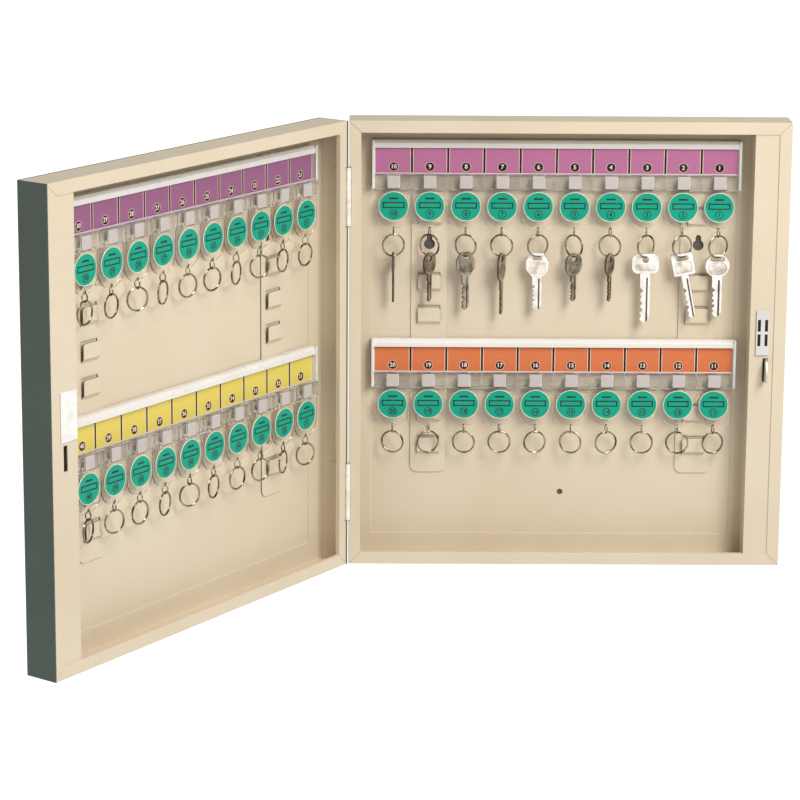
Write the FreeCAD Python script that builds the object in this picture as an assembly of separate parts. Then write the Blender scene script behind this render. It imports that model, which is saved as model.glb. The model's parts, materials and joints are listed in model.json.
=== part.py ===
import FreeCAD, Part
import os
from math import cos, sin, pi
from FreeCAD import Vector as V

# Wall-hung key cabinet: a shallow steel tray with a tray-shaped door of the same size.
# Frame: origin at the centre of the back face, +X to the right, +Y into the wall, +Z up.
# The model stands with the door open by OPEN_ANGLE. All sizes are in millimetres.

# ---- cabinet
HEIGHT = 380.0
WIDTH = 365.0
REAR_DEPTH = 31.0           # wall face to the plane of the rear lips
DOOR_DEPTH = 29.0           # outer skin to the plane of the door lips
CLOSED_GAP = 1.0            # between the two lip planes with the door shut
SEAM_COVER = 0.8            # how far the skin covers that gap on the hinge side
SHEET = 1.0                 # steel sheet
LIP = 10.0                  # width of the folded lips, from the outside edge
LIP_RETURN = 3.0            # how far the lip's inner edge folds back
FLANGE = 19.0               # width of the folded flanges that hold the back sheet
MITRE = 0.35                # open joint of a mitred lip corner
OPEN_ANGLE = 126.0          # door opening in the model's own pose
FIT = 0.1                   # clearance of a piece that sits in a cut-out
LIFT_FIT = 0.05             # clearance under a piece that hangs on a hook
LINK_FIT = 0.2              # the same under the curved wire of a link

# ---- hinges
HINGE_LENGTH = 49.0
HINGE_INSET = 39.0          # end of the cabinet to the near end of the hinge
HINGE_OFFSET = 0.5          # pin centre outside the side wall
KNUCKLES = 5
KNUCKLE_GAP = 0.15
LEAF = 0.95                 # leaf thickness, also the knuckle's wall
LEAF_DEPTH = 14.0
PIN_R = 1.15
PIN_FIT = 0.05
KNUCKLE_CLEAR = 0.3         # air round a knuckle
PIN_HEAD = 0.6

# ---- lock columns
COLUMN = 30.0               # outside edge of the cabinet to the column's inner side
COLUMN_FOOT = 10.0

# ---- magnetic catch and strike plate
CATCH_Z = 12.5
CATCH_LENGTH = 38.5
CATCH_WIDTH = 11.0
CATCH_EDGE = 19.5           # cabinet's edge to the middle of the catch
CATCH_PROUD = 1.7
CATCH_BODY_LENGTH = 32.0
CATCH_BODY_DEPTH = 12.0
POLE_WIDTH = 2.4
POLE_LENGTH = 10.0
POLE_PITCH_X = 6.0
POLE_PITCH_Z = 12.5
POLE_RECESS = 0.3
POLE_DEPTH = 9.0
STRIKE_WIDTH = 18.0
STRIKE_GAP = 0.3            # catch to strike plate with the door shut

# ---- latch tongue
LATCH_Z = -19.5
LATCH_EDGE = 16.5           # cabinet's edge to the middle of the tongue
TONGUE_SHEET = 1.5
TONGUE_HEIGHT = 18.0
TONGUE_REACH = 13.0         # from the column's face
TONGUE_NECK = 6.0           # from the column's face to the notch
TONGUE_NOTCH = 3.0          # width of the notch that takes the cam
TONGUE_NOTCH_HEIGHT = 9.0
TONGUE_FOOT = 11.0
LATCH_SLOT_WIDTH = 4.4
LATCH_SLOT_HEIGHT = 20.0

# ---- cam lock
LOCK_EDGE = 15.0            # cabinet's edge to the lock's axis
CAM_REACH = 13.4
CAM_WIDTH = 8.0
CAM_SHEET = 2.0
CAM_BITE = 4.5              # how far the cam's tip enters the notch
BARREL_R = 8.0
BARREL_LENGTH = 19.0
LOCK_RIM_R = 10.5
LOCK_RIM = 1.5
PLUG_R = 5.0
PLUG_FIT = 0.05
PLUG_FACE_R = 6.5
PLUG_FACE = 1.0
KEYWAY_WIDTH = 1.6
KEYWAY_HEIGHT = 7.0
KEYWAY_DEPTH = 14.0
NUT_ACROSS = 22.0
NUT_HEIGHT = 4.0
SHANK_SIDE = 5.0            # square end of the plug that turns the cam
SCREW_R = 3.6
SCREW_HEAD = 1.2
SCREW_HOLE_R = 1.5

# ---- hanger plates
HANGER_WIDTH = 30.3
HANGER_SPACING = 225.5
HANGER_SHIFT = 2.4          # middle of the pair, from the cabinet's middle to the hinge side
HANGER_BOTTOM = -117.0
HANGER_CORNER = 6.0
POCKETS_BELOW = 3           # pocket hooks below the middle one
POCKETS_ABOVE = 6
POCKET_PITCH = 28.3
POCKET_Z = -1.2             # top of the middle pocket hook
POCKET_WIDTH = 18.7
POCKET_HEIGHT = 15.0
POCKET_SLIT = 1.6
POCKET_REACH = 2.0          # free space behind the hook
KEYHOLE_R = 4.6
KEYHOLE_SLOT_R = 2.3
KEYHOLE_RISE = 6.4          # big hole's centre to the slot's end centre
KEYHOLE_Z = 81.0
FIXING_R = 2.5
FIXING_Z = -134.6
FIXING_X = -2.2

# ---- key strips
STRIP_POCKETS = (6, 0)      # pocket hooks that carry the upper and the lower strip
CELL = 30.15
CELLS = 10
END_CAP = 2.0
END_MARGIN = 0.9
STRIP_EDGE = 19.0           # hinge-side edge of the cabinet to the strip
RAIL_HEIGHT = 40.9
RAIL_BACK = 4.3             # back sheet to the rail's rear face
RAIL_WEB = 1.7
RAIL_BRIDGE = 1.7           # thickness of the rail over the pocket hook
RAIL_TONGUE = 1.2           # lip that drops behind the pocket hook
RAIL_TONGUE_BACK = 1.4
RAIL_TONGUE_DROP = 9.0
CARD_TOP = 6.3
CARD_BOTTOM = 27.6
CARD = 0.4
CARD_FIT = 0.05
CARD_GRIP = 1.6             # how far the card goes behind the rail's upper lip
CARD_SEAT = 0.45
TOP_LIP_FRONT = 9.5
TOP_LIP_BEVEL = 2.4
CARD_LIP_BACK = 6.8
LOW_LIP_FRONT = 7.8
LOW_LIP_HEIGHT = 1.6
CAP_FRONT = 10.5
HOOK_WIDTH = 10.0
HOOK_SHEET = 1.8
HOOK_FRONT = 14.2
HOOK_TOP = 28.9
HOOK_SEAT = 38.0            # strip's top to the surface that a tag hangs on

# ---- tags
TAG_GAP = 0.65              # air between neighbouring tags
TAG_TOP = 28.3
TAG_HEAD_BACK = 8.7
TAG_HEAD_FRONT = 13.9
TAG_HEAD_BOTTOM = 40.9
TAG_BAR_FRONT = 12.0
TAG_WINDOW = 11.2
TAG_PLATE_BACK = 10.5
TAG_PLATE = 1.5
TAG_BOTTOM = 74.4
TAG_HOLE_R = 1.3
TAG_HOLE_EDGE = 1.1         # plastic left under the hole
DISC_MARGIN = 2.25          # clear plastic outside the disc
DISC_Z = 55.0
DISC_THICK = 0.8

# ---- links, split rings and keys
LINK_R = 3.9
LINK_WIRE_R = 0.5
RING_R = 9.2
RING_WIRE_R = 0.75
KEY_SHEET = 1.8
KEY_PANEL = 0.3             # depth of the stamped panel on each side of a key's head
KEY_BORDER = 2.6            # width of the border left round the panel
RING_SWAY = 18.0            # a ring without a key turns up to this much about its link

# head shape, head width, head height, blade width, whole length, turn of the key,
# lean of the key, turn of the ring, width and height of the hole
KEYS = {
    1: ("round", 20.5, 20.0, 8.6, 54.0, 0.0, 0.0, 29.0, 12.0, 4.0),
    2: ("square", 18.5, 19.0, 6.5, 56.0, 0.0, -11.0, 28.0, 10.5, 3.6),
    3: ("broad", 22.5, 17.0, 8.6, 59.0, 0.0, 0.0, 38.0, 5.6, 5.6),
    4: ("round", 16.0, 18.6, 5.2, 41.0, 60.0, 0.0, -20.0, 5.6, 5.6),
    5: ("round", 16.0, 19.0, 5.2, 41.0, 32.0, 0.0, -44.0, 5.6, 5.6),
    6: ("hexagon", 19.0, 20.5, 8.2, 49.0, -8.0, 0.0, 24.0, 7.6, 3.6),
    7: ("round", 17.0, 24.0, 5.0, 52.5, 68.0, 0.0, -12.0, 5.6, 5.6),
    8: ("hexagon", 17.0, 19.5, 6.2, 49.0, 24.0, 0.0, -24.0, 8.0, 3.8),
    9: ("round", 17.0, 18.5, 5.2, 42.0, 55.0, 0.0, -34.0, 5.6, 5.6),
    10: ("round", 16.0, 17.0, 5.0, 42.5, 86.0, 0.0, 14.0, 5.6, 5.6),
}

# ---- what follows from the sizes above
HALF_W = WIDTH / 2
HALF_H = HEIGHT / 2
PIN_X = -HALF_W - HINGE_OFFSET
PIN_Y = -REAR_DEPTH - CLOSED_GAP / 2
KNUCKLE_R = PIN_R + PIN_FIT + LEAF
COLUMN_GAP = CLOSED_GAP + 2 * SHEET          # column face to column face, door shut
LATCH_DROP = TONGUE_HEIGHT / 2
NOTCH_MID = TONGUE_NECK + TONGUE_NOTCH / 2   # from the rear column's face
CAM_MID = DOOR_DEPTH - SHEET - NOTCH_MID + COLUMN_GAP
LOCK_Z = LATCH_Z - LATCH_DROP + CAM_BITE - CAM_REACH
LINK_TOP = TAG_BOTTOM - TAG_HOLE_EDGE - LINK_WIRE_R - LINK_FIT   # its wire's centre in the tag
LINK_Z = LINK_TOP + LINK_R
RING_SEAT = LINK_Z + LINK_R - LINK_WIRE_R - RING_WIRE_R - LIFT_FIT
RING_Z = RING_SEAT + RING_R
KEY_SEAT = RING_Z + RING_R - RING_WIRE_R - LIFT_FIT              # top of a key's hole
TAG_Y = TAG_PLATE_BACK + TAG_PLATE / 2
TAG_WIDTH = CELL - TAG_GAP
DISC_R = TAG_WIDTH / 2 - DISC_MARGIN


def box(x, y, z):
    """A block between two x, two y and two z values."""
    (x0, x1), (y0, y1), (z0, z1) = sorted(x), sorted(y), sorted(z)
    return Part.makeBox(x1 - x0, y1 - y0, z1 - z0, V(x0, y0, z0))


def rod(radius, start, direction, length):
    return Part.makeCylinder(radius, length, V(*start), V(*direction))


def fuse(shapes):
    shapes = list(shapes)
    whole = shapes[0]
    for shape in shapes[1:]:
        whole = whole.fuse(shape)
    return whole.removeSplitter()


def cut(shape, tools):
    for tool in tools:
        shape = shape.cut(tool)
    return shape


def group(shapes):
    """Separate solids of one node."""
    return Part.makeCompound([solid for shape in shapes for solid in shape.Solids])


def moved(shape, x=0.0, y=0.0, z=0.0):
    copy = shape.copy()
    copy.translate(V(x, y, z))
    return copy


def turned(shape, centre, axis, angle):
    copy = shape.copy()
    copy.rotate(V(*centre), V(*axis), angle)
    return copy


def extruded(points, axis, start, length):
    """A prism over a closed outline; axis 0 takes (y, z) points and axis 1 takes (x, z)."""
    if axis == 0:
        corners = [V(start, a, b) for a, b in points]
        direction = V(length, 0, 0)
    else:
        corners = [V(a, start, b) for a, b in points]
        direction = V(0, length, 0)
    return Part.Face(Part.makePolygon(corners + corners[:1])).extrude(direction)


# ------------------------------------------------------------------ trays
# A half is described lying open side forward: its outer face is y = 0, its lips are at
# y = -depth, and "side" is -1 where its hinge is on the left and +1 where it is on the right.

def tray_case(width, outer, depth, lip, side):
    """Four walls with folded lips and flanges; outer is where the flanges start."""
    half = width / 2
    whole = box((-half, half), (-outer, -depth), (-HALF_H, HALF_H))
    room = box((-half + SHEET, half - SHEET), (-outer - SHEET, -depth + SHEET),
               (-HALF_H + SHEET, HALF_H - SHEET))
    front = box((-half + lip, half - lip), (-depth - 1, -depth + 2 * SHEET),
                (-HALF_H + LIP, HALF_H - LIP))
    flange = FLANGE - (HALF_W - half)
    back = box((-half + flange, half - flange), (1, -outer - 2 * SHEET),
               (-HALF_H + FLANGE, HALF_H - FLANGE))
    case = cut(whole, [room, front, back])
    case = case.fuse(lip_return(half - lip, depth, side)).removeSplitter()
    return cut(case, mitre_cuts(half, depth, lip) + hinge_notches(depth, side, half - SHEET))


def lip_return(half_opening, depth, side):
    """The folded-back edge of the lips, on the three sides that have no lock column."""
    high = HALF_H - LIP
    reach = (-depth, -depth + SHEET + LIP_RETURN)
    ring = box((-half_opening - SHEET, half_opening + SHEET), reach, (-high - SHEET, high + SHEET))
    ring = ring.cut(box((-half_opening, half_opening), (-depth - 1, 0), (-high, high)))
    column_edge = -side * (HALF_W - COLUMN - FIT)
    return ring.common(box((column_edge, side * HALF_W), (0, -depth - 1), (-HALF_H, HALF_H)))


def mitre_cuts(half, depth, lip):
    """Open joints across the lip's four corners, from the inner corner outwards."""
    cuts = []
    long = 1.6 * LIP
    for sx in (-1, 1):
        for sz in (-1, 1):
            blade = box((-2 * SHEET, long), (-depth - 1, -depth + SHEET), (-MITRE / 2, MITRE / 2))
            blade = turned(blade, (0, 0, 0), (0, 1, 0), 45 if sx * sz < 0 else -45)
            if sx < 0:
                blade = turned(blade, (0, 0, 0), (0, 1, 0), 180)
            inner = moved(blade, sx * (half - lip), 0, sz * (HALF_H - LIP))
            keep = box((sx * (half - SHEET), 0), (0, -2 * depth), (sz * (HALF_H - SHEET), 0))
            cuts.append(inner.common(keep))
    return cuts


def hinge_spans():
    """Lower and upper end of each hinge."""
    top = HALF_H - HINGE_INSET
    return ((top - HINGE_LENGTH, top), (-top, -top + HINGE_LENGTH))


def hinge_notches(depth, side, inside):
    """Reliefs in the corner of wall and lip for knuckles and leaves; inside is the wall's."""
    reach = KNUCKLE_R + KNUCKLE_CLEAR
    room = PIN_HEAD + FIT
    return [box((side * (inside - LEAF - FIT), side * (HALF_W + HINGE_OFFSET + reach)),
                (-depth - 1, -depth - CLOSED_GAP / 2 + reach), (low - room, high + room))
            for low, high in hinge_spans()]


def back_sheet(width, outer, holes=()):
    """The flat sheet that closes a tray, held by the flanges."""
    inset = SHEET + FIT
    sheet = box((-width / 2 + inset, width / 2 - inset), (-outer, -outer - SHEET),
                (-HALF_H + inset, HALF_H - inset))
    return cut(sheet, holes)


def lock_column(floor, depth, width, side, case, openings):
    """Folded column along the lock side: foot, side wall and a face behind the lip."""
    edge = -side * (HALF_W - COLUMN)
    out = -side * (width / 2 - SHEET)
    high = (-HALF_H + SHEET, HALF_H - SHEET)
    face = box((edge, out), (-depth + SHEET, -depth + 2 * SHEET), high)
    wall = box((edge, edge - side * SHEET), (-depth + SHEET, -floor), high)
    foot = box((edge - side * SHEET, edge + side * COLUMN_FOOT), (-floor, -floor - SHEET),
               (-HALF_H + FLANGE + FIT, HALF_H - FLANGE - FIT))
    return cut(fuse([face, wall, foot]), [case] + openings)


# ------------------------------------------------------------------ hinges
def hinge_leaf(low, side, depth, inside, own):
    """One leaf on the wall's inner face; own holds the numbers of its knuckles."""
    axis_x = side * (HALF_W + HINGE_OFFSET)
    axis_y = -depth - CLOSED_GAP / 2
    inside = side * inside
    back = axis_y + KNUCKLE_R
    plate = box((inside, inside - side * LEAF), (back - LEAF, back - LEAF + LEAF_DEPTH),
                (low, low + HINGE_LENGTH))
    web = box((inside, axis_x), (back - LEAF, back), (low, low + HINGE_LENGTH))
    leaf = plate.fuse(web)
    step = HINGE_LENGTH / KNUCKLES
    for number in range(KNUCKLES):
        start = low + number * step
        if number in own:
            leaf = leaf.fuse(rod(KNUCKLE_R, (axis_x, axis_y, start), (0, 0, 1), step))
        else:
            room = rod(KNUCKLE_R + KNUCKLE_CLEAR, (axis_x, axis_y, start - KNUCKLE_GAP),
                       (0, 0, 1), step + 2 * KNUCKLE_GAP)
            leaf = leaf.cut(room)
            leaf = leaf.cut(box((inside, axis_x), (axis_y, back + 1),
                                (start - KNUCKLE_GAP, start + step + KNUCKLE_GAP)))
    bore = rod(PIN_R + PIN_FIT, (axis_x, axis_y, low - 1), (0, 0, 1), HINGE_LENGTH + 2)
    return leaf.cut(bore).removeSplitter()


def hinge_pin(low):
    pin = rod(PIN_R, (PIN_X, PIN_Y, low), (0, 0, 1), HINGE_LENGTH)
    top = rod(KNUCKLE_R, (PIN_X, PIN_Y, low + HINGE_LENGTH), (0, 0, 1), PIN_HEAD)
    end = rod(KNUCKLE_R, (PIN_X, PIN_Y, low - PIN_HEAD), (0, 0, 1), PIN_HEAD)
    return fuse([pin, top, end])


# ------------------------------------------------------------------ hanger plates
def hanger_x(side):
    """Middles of the two hanger plates."""
    middle = side * HANGER_SHIFT
    return (middle - HANGER_SPACING / 2, middle + HANGER_SPACING / 2)


def pocket_top(number):
    return POCKET_Z + number * POCKET_PITCH


def keyhole(x):
    """A keyhole opening through plate and back sheet."""
    deep = REAR_DEPTH / 2
    big = rod(KEYHOLE_R, (x, -deep, KEYHOLE_Z), (0, 1, 0), deep + 1)
    small = rod(KEYHOLE_SLOT_R, (x, -deep, KEYHOLE_Z + KEYHOLE_RISE), (0, 1, 0), deep + 1)
    neck = box((x - KEYHOLE_SLOT_R, x + KEYHOLE_SLOT_R), (-deep, 1),
               (KEYHOLE_Z, KEYHOLE_Z + KEYHOLE_RISE))
    return fuse([big, small, neck])


def pocket_hook(x, floor, top):
    """A tab pressed forward out of the plate, open at its top."""
    front = -floor - SHEET - POCKET_REACH
    half = POCKET_WIDTH / 2
    bend = POCKET_REACH + SHEET
    profile = [(front, top), (front - SHEET, top), (front - SHEET, top - POCKET_HEIGHT + bend),
               (-floor - SHEET, top - POCKET_HEIGHT), (-floor, top - POCKET_HEIGHT),
               (front, top - POCKET_HEIGHT + bend + SHEET)]
    tab = extruded(profile, 0, x - half, POCKET_WIDTH)
    corners = [e for e in tab.Edges
               if abs(e.BoundBox.ZMax - top) < 0.01 and e.BoundBox.YLength > SHEET / 2
               and e.BoundBox.XLength < 0.01 and e.BoundBox.ZLength < 0.01]
    return tab.makeFillet(2 * SHEET, corners)


def hanger_plate(x, floor, keyhole_number=None):
    """A plate with a ladder of pocket hooks; one of them may give way to a keyhole."""
    half = HANGER_WIDTH / 2
    top = HALF_H - FLANGE - 2 * FIT
    plate = box((x - half, x + half), (-floor, -floor - SHEET), (HANGER_BOTTOM, top))
    low = [e for e in plate.Edges
           if abs(e.BoundBox.ZMax - HANGER_BOTTOM) < 0.01 and e.BoundBox.YLength > SHEET / 2]
    plate = plate.makeFillet(HANGER_CORNER, [e for e in low if e.BoundBox.XLength < 0.01])
    for number in range(-POCKETS_BELOW, POCKETS_ABOVE + 1):
        if number == keyhole_number:
            plate = plate.cut(keyhole(x))
            continue
        z = pocket_top(number)
        window = box((x - POCKET_WIDTH / 2, x + POCKET_WIDTH / 2), (0, -REAR_DEPTH),
                     (z - POCKET_HEIGHT, z + POCKET_SLIT))
        plate = plate.cut(window).fuse(pocket_hook(x, floor, z))
    return plate.removeSplitter()


# ------------------------------------------------------------------ key strips
def strip_x(side):
    """Left end of a strip."""
    length = CELLS * CELL + 2 * (END_CAP + END_MARGIN)
    return -HALF_W + STRIP_EDGE if side < 0 else HALF_W - STRIP_EDGE - length


def strip_top(row):
    return pocket_top(STRIP_POCKETS[row]) + RAIL_BRIDGE + LIFT_FIT


def cell_x(side, place):
    """Middle of a cell, counted from the left."""
    return strip_x(side) + END_CAP + END_MARGIN + (place + 0.5) * CELL


def strip_rail(side, floor, top):
    """Moulded rail: a lip that hangs behind the pocket hooks, a card groove and ten hooks."""
    web = RAIL_BACK + RAIL_WEB
    profile = [(RAIL_TONGUE_BACK, 0), (TOP_LIP_FRONT - TOP_LIP_BEVEL, 0),
               (TOP_LIP_FRONT, TOP_LIP_BEVEL), (TOP_LIP_FRONT, CARD_TOP),
               (CARD_LIP_BACK, CARD_TOP), (CARD_LIP_BACK, CARD_TOP - CARD_GRIP - CARD_FIT),
               (web, CARD_TOP - CARD_GRIP - CARD_FIT), (web, CARD_BOTTOM + CARD_SEAT),
               (CARD_LIP_BACK, CARD_BOTTOM + CARD_SEAT), (CARD_LIP_BACK, CARD_BOTTOM),
               (LOW_LIP_FRONT, CARD_BOTTOM), (LOW_LIP_FRONT, CARD_BOTTOM + LOW_LIP_HEIGHT),
               (web, CARD_BOTTOM + LOW_LIP_HEIGHT), (web, RAIL_HEIGHT), (RAIL_BACK, RAIL_HEIGHT),
               (RAIL_BACK, RAIL_BRIDGE), (RAIL_TONGUE_BACK + RAIL_TONGUE, RAIL_BRIDGE),
               (RAIL_TONGUE_BACK + RAIL_TONGUE, RAIL_TONGUE_DROP),
               (RAIL_TONGUE_BACK, RAIL_TONGUE_DROP)]
    outline = [(-floor - y, top - z) for y, z in profile]
    left = strip_x(side)
    length = CELLS * CELL + 2 * (END_CAP + END_MARGIN)
    parts = [extruded(outline, 0, left, length)]
    for start in (left, left + length - END_CAP):
        parts.append(box((start, start + END_CAP), (-floor - RAIL_BACK, -floor - CAP_FRONT),
                         (top, top - RAIL_HEIGHT)))
    return fuse(parts + [tag_hook(cell_x(side, n), floor, top) for n in range(CELLS)])


def tag_hook(x, floor, top):
    """One J-shaped hook of the rail."""
    half = HOOK_WIDTH / 2
    seat = top - HOOK_SEAT
    base = box((x - half, x + half), (-floor - RAIL_BACK - RAIL_WEB / 2, -floor - HOOK_FRONT),
               (seat - HOOK_SHEET, seat))
    stem = box((x - half, x + half), (-floor - HOOK_FRONT + HOOK_SHEET, -floor - HOOK_FRONT),
               (seat - HOOK_SHEET, top - HOOK_TOP))
    hook = fuse([base, stem])
    nose = [e for e in hook.Edges
            if e.BoundBox.XLength > HOOK_SHEET and abs(e.BoundBox.YMin + floor + HOOK_FRONT) < 0.01
            and e.BoundBox.YLength < 0.01 and e.BoundBox.ZLength < 0.01]
    return hook.makeFillet(HOOK_SHEET / 2.5, nose)


def strip_card(side, floor, top):
    """The printed number card in the rail's groove."""
    left = cell_x(side, -0.5)
    back = floor + RAIL_BACK + RAIL_WEB + CARD_FIT
    return box((left, left + CELLS * CELL), (-back, -back - CARD),
               (top - CARD_TOP + CARD_GRIP, top - CARD_BOTTOM - CARD_SEAT + CARD_FIT))


# ------------------------------------------------------------------ tags and keys
def tag_plate(x, floor, top):
    """Clear tag: a thick head that hangs on the hook over a plate with a round end."""
    half = TAG_WIDTH / 2
    head = box((x - half, x + half), (-floor - TAG_HEAD_BACK, -floor - TAG_HEAD_FRONT),
               (top - TAG_TOP, top - TAG_HEAD_BOTTOM))
    window = TAG_WINDOW / 2
    pocket = box((x - window, x + window), (-floor - TAG_BAR_FRONT, -floor - TAG_HEAD_FRONT - 1),
                 (top - TAG_TOP + 1, top - TAG_HEAD_BOTTOM - 1))
    seat = top - HOOK_SEAT + LIFT_FIT
    under = box((x - window, x + window), (-floor - TAG_HEAD_BACK + 1, -floor - TAG_HEAD_FRONT - 1),
                (seat, top - TAG_HEAD_BOTTOM - FIT))
    back = -floor - TAG_PLATE_BACK
    middle = top - TAG_BOTTOM + half
    tongue = box((x - half, x + half), (back, back - TAG_PLATE), (top - TAG_HEAD_BOTTOM, middle))
    end = rod(half, (x, back - TAG_PLATE, middle), (0, 1, 0), TAG_PLATE)
    hole = rod(TAG_HOLE_R, (x, back - TAG_PLATE - 1, top - TAG_BOTTOM + TAG_HOLE_EDGE + TAG_HOLE_R),
               (0, 1, 0), TAG_PLATE + 2)
    return cut(fuse([head, tongue, end]), [pocket, under, hole])


def tag_disc(x, floor, top):
    """The coloured number disc on the front of a tag."""
    front = -floor - TAG_PLATE_BACK - TAG_PLATE
    return rod(DISC_R, (x, front - DISC_THICK, top - DISC_Z), (0, 1, 0), DISC_THICK)


def link_and_ring(x, floor, top, ring_turn):
    """The small wire link through the tag and the split ring in it."""
    y = -floor - TAG_Y
    link = Part.makeTorus(LINK_R, LINK_WIRE_R, V(x, y, top - LINK_Z), V(1, 0, 0))
    ring = Part.makeTorus(RING_R, RING_WIRE_R, V(x, y, top - RING_Z), V(0, 1, 0))
    return [link, turned(ring, (x, y, 0), (0, 0, 1), ring_turn)]


def key_head(shape, width, height):
    """Key bow with its top at z = 0, facing -Y, before its hole is cut."""
    half = width / 2
    if shape == "hexagon":
        points = [(-0.52 * half, 0), (0.52 * half, 0), (half, -0.35 * height), (half, -0.7 * height),
                  (0.5 * half, -height), (-0.5 * half, -height), (-half, -0.7 * height),
                  (-half, -0.35 * height)]
        return extruded(points, 1, -KEY_SHEET / 2, KEY_SHEET)
    head = box((-half, half), (-KEY_SHEET / 2, KEY_SHEET / 2), (-height, 0))
    share = {"round": 0.98, "square": 0.2, "broad": 0.62}[shape]
    upright = [e for e in head.Edges if e.BoundBox.YLength > KEY_SHEET / 2]
    return head.makeFillet(share * min(half, height / 2), upright)


def key_blade(width, start, end):
    """Blade with a cut edge, a milled groove and a bevelled tip."""
    half = width / 2
    cuts = 5
    step = (start - end) * 0.62 / cuts
    points = [(half, start), (half, end + half), (half * 0.2, end), (-half * 0.3, end)]
    z = end + half * 0.7
    for number in range(cuts):
        depth = (0.16 + 0.07 * (number * 2 % 3)) * width
        points += [(-half, z), (-half + depth, z + step * 0.45), (-half + depth, z + step * 0.6)]
        z += step
    points += [(-half, z), (-half, start)]
    blade = extruded(points, 1, -KEY_SHEET / 2, KEY_SHEET)
    groove = box((0.1 * width, 0.26 * width), (-KEY_SHEET, -KEY_SHEET / 4), (start - step, end - 1))
    return blade.cut(groove)


def key_panels(shape, width, height, hole_end):
    """Stamped panels on both sides of a key's head, between its hole and its blade."""
    top = hole_end + KEY_BORDER / 2
    panel = key_head("square" if shape == "hexagon" else shape, width - 2 * KEY_BORDER,
                     height - top - KEY_BORDER)
    shift = KEY_SHEET - KEY_PANEL
    return [moved(panel, 0, shift, -top), moved(panel, 0, -shift, -top)]


def key(number, x, floor, top):
    """A key hung by its hole on the bottom of its ring."""
    shape, width, height, blade, length, turn, lean, _, hole_w, hole_h = KEYS[number]
    above = 2.6 if shape in ("hexagon", "square") else 2.2
    head = key_head(shape, width, height)
    body = fuse([head, key_blade(blade, -height + 2, -length)])
    slot = box((-hole_w / 2, hole_w / 2), (-KEY_SHEET, KEY_SHEET), (-above - hole_h, -above))
    upright = [e for e in slot.Edges if e.BoundBox.YLength > KEY_SHEET]
    slot = slot.makeFillet(hole_h * 0.49, upright) if shape != "hexagon" else slot
    body = cut(body, [slot] + key_panels(shape, width, height, above + hole_h))
    body.translate(V(0, 0, above))
    body.rotate(V(0, 0, 0), V(0, 1, 0), lean)
    body.rotate(V(0, 0, 0), V(0, 0, 1), turn)
    return moved(body, x, -floor - TAG_Y, top - KEY_SEAT)


# ------------------------------------------------------------------ latch, catch and lock
def column_mid(side, edge):
    """X of a thing that sits edge millimetres in from the lock side."""
    return -side * (HALF_W - edge)


def catch_cutout(side):
    x = column_mid(side, CATCH_EDGE)
    half = CATCH_WIDTH / 2 + FIT
    return box((x - half, x + half), (0, -2 * REAR_DEPTH),
               (CATCH_Z - CATCH_BODY_LENGTH / 2 - FIT, CATCH_Z + CATCH_BODY_LENGTH / 2 + FIT))


def catch_slots(x, face):
    """The four windows of the magnetic catch."""
    slots = []
    for sx in (-1, 1):
        for sz in (-1, 1):
            mid_x = x + sx * POLE_PITCH_X / 2
            mid_z = CATCH_Z + sz * POLE_PITCH_Z / 2
            slots.append(box((mid_x - POLE_WIDTH / 2, mid_x + POLE_WIDTH / 2),
                             (face - 2 * CATCH_PROUD, face + POLE_DEPTH),
                             (mid_z - POLE_LENGTH / 2, mid_z + POLE_LENGTH / 2)))
    return slots


def magnet_catch(side, depth):
    """Plastic housing in the rear column, with a rim in front of the face."""
    face = -depth + SHEET
    x = column_mid(side, CATCH_EDGE)
    half = CATCH_WIDTH / 2
    rim = box((x - half, x + half), (face, face - CATCH_PROUD),
              (CATCH_Z - CATCH_LENGTH / 2, CATCH_Z + CATCH_LENGTH / 2))
    body = box((x - half, x + half), (face, face + CATCH_BODY_DEPTH),
               (CATCH_Z - CATCH_BODY_LENGTH / 2, CATCH_Z + CATCH_BODY_LENGTH / 2))
    return cut(fuse([rim, body]), catch_slots(x, face))


def catch_poles(side, depth):
    """Steel pole plates in the catch's windows, a little below its face."""
    face = -depth + SHEET
    x = column_mid(side, CATCH_EDGE)
    room = box((-WIDTH, WIDTH), (face - CATCH_PROUD + POLE_RECESS, 0), (-HEIGHT, HEIGHT))
    return group([slot.common(room) for slot in catch_slots(x, face)])


def latch_slot(side, height):
    x = column_mid(side, LATCH_EDGE)
    return box((x - LATCH_SLOT_WIDTH / 2, x + LATCH_SLOT_WIDTH / 2), (0, -2 * REAR_DEPTH),
               (LATCH_Z - height / 2, LATCH_Z + height / 2))


def latch_tongue(side, depth):
    """Angle bracket behind the column with a hooked tongue through its slot."""
    face = -depth + SHEET
    x = column_mid(side, LATCH_EDGE)
    low, high = LATCH_Z - TONGUE_HEIGHT / 2, LATCH_Z + TONGUE_HEIGHT / 2
    neck = face - TONGUE_NECK
    head = neck - TONGUE_NOTCH
    tip = face - TONGUE_REACH
    profile = [(face + 2 * SHEET, low), (neck, low), (neck, low + TONGUE_NOTCH_HEIGHT),
               (head, low + TONGUE_NOTCH_HEIGHT), (head, low + SHEET), (head - SHEET, low),
               (tip, low + 2 * SHEET), (tip, LATCH_Z), (head, high), (face + 2 * SHEET, high)]
    tongue = extruded(profile, 0, x - TONGUE_SHEET / 2, TONGUE_SHEET)
    near = x + side * TONGUE_SHEET / 2
    foot = box((near, near - side * TONGUE_FOOT), (face + SHEET, face + SHEET + TONGUE_SHEET),
               (low, high))
    return fuse([tongue, foot])


def lock_axis():
    """X and Z of the lock in the door's own half, where the hinge is on the right."""
    return column_mid(1, LOCK_EDGE), LOCK_Z


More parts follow.
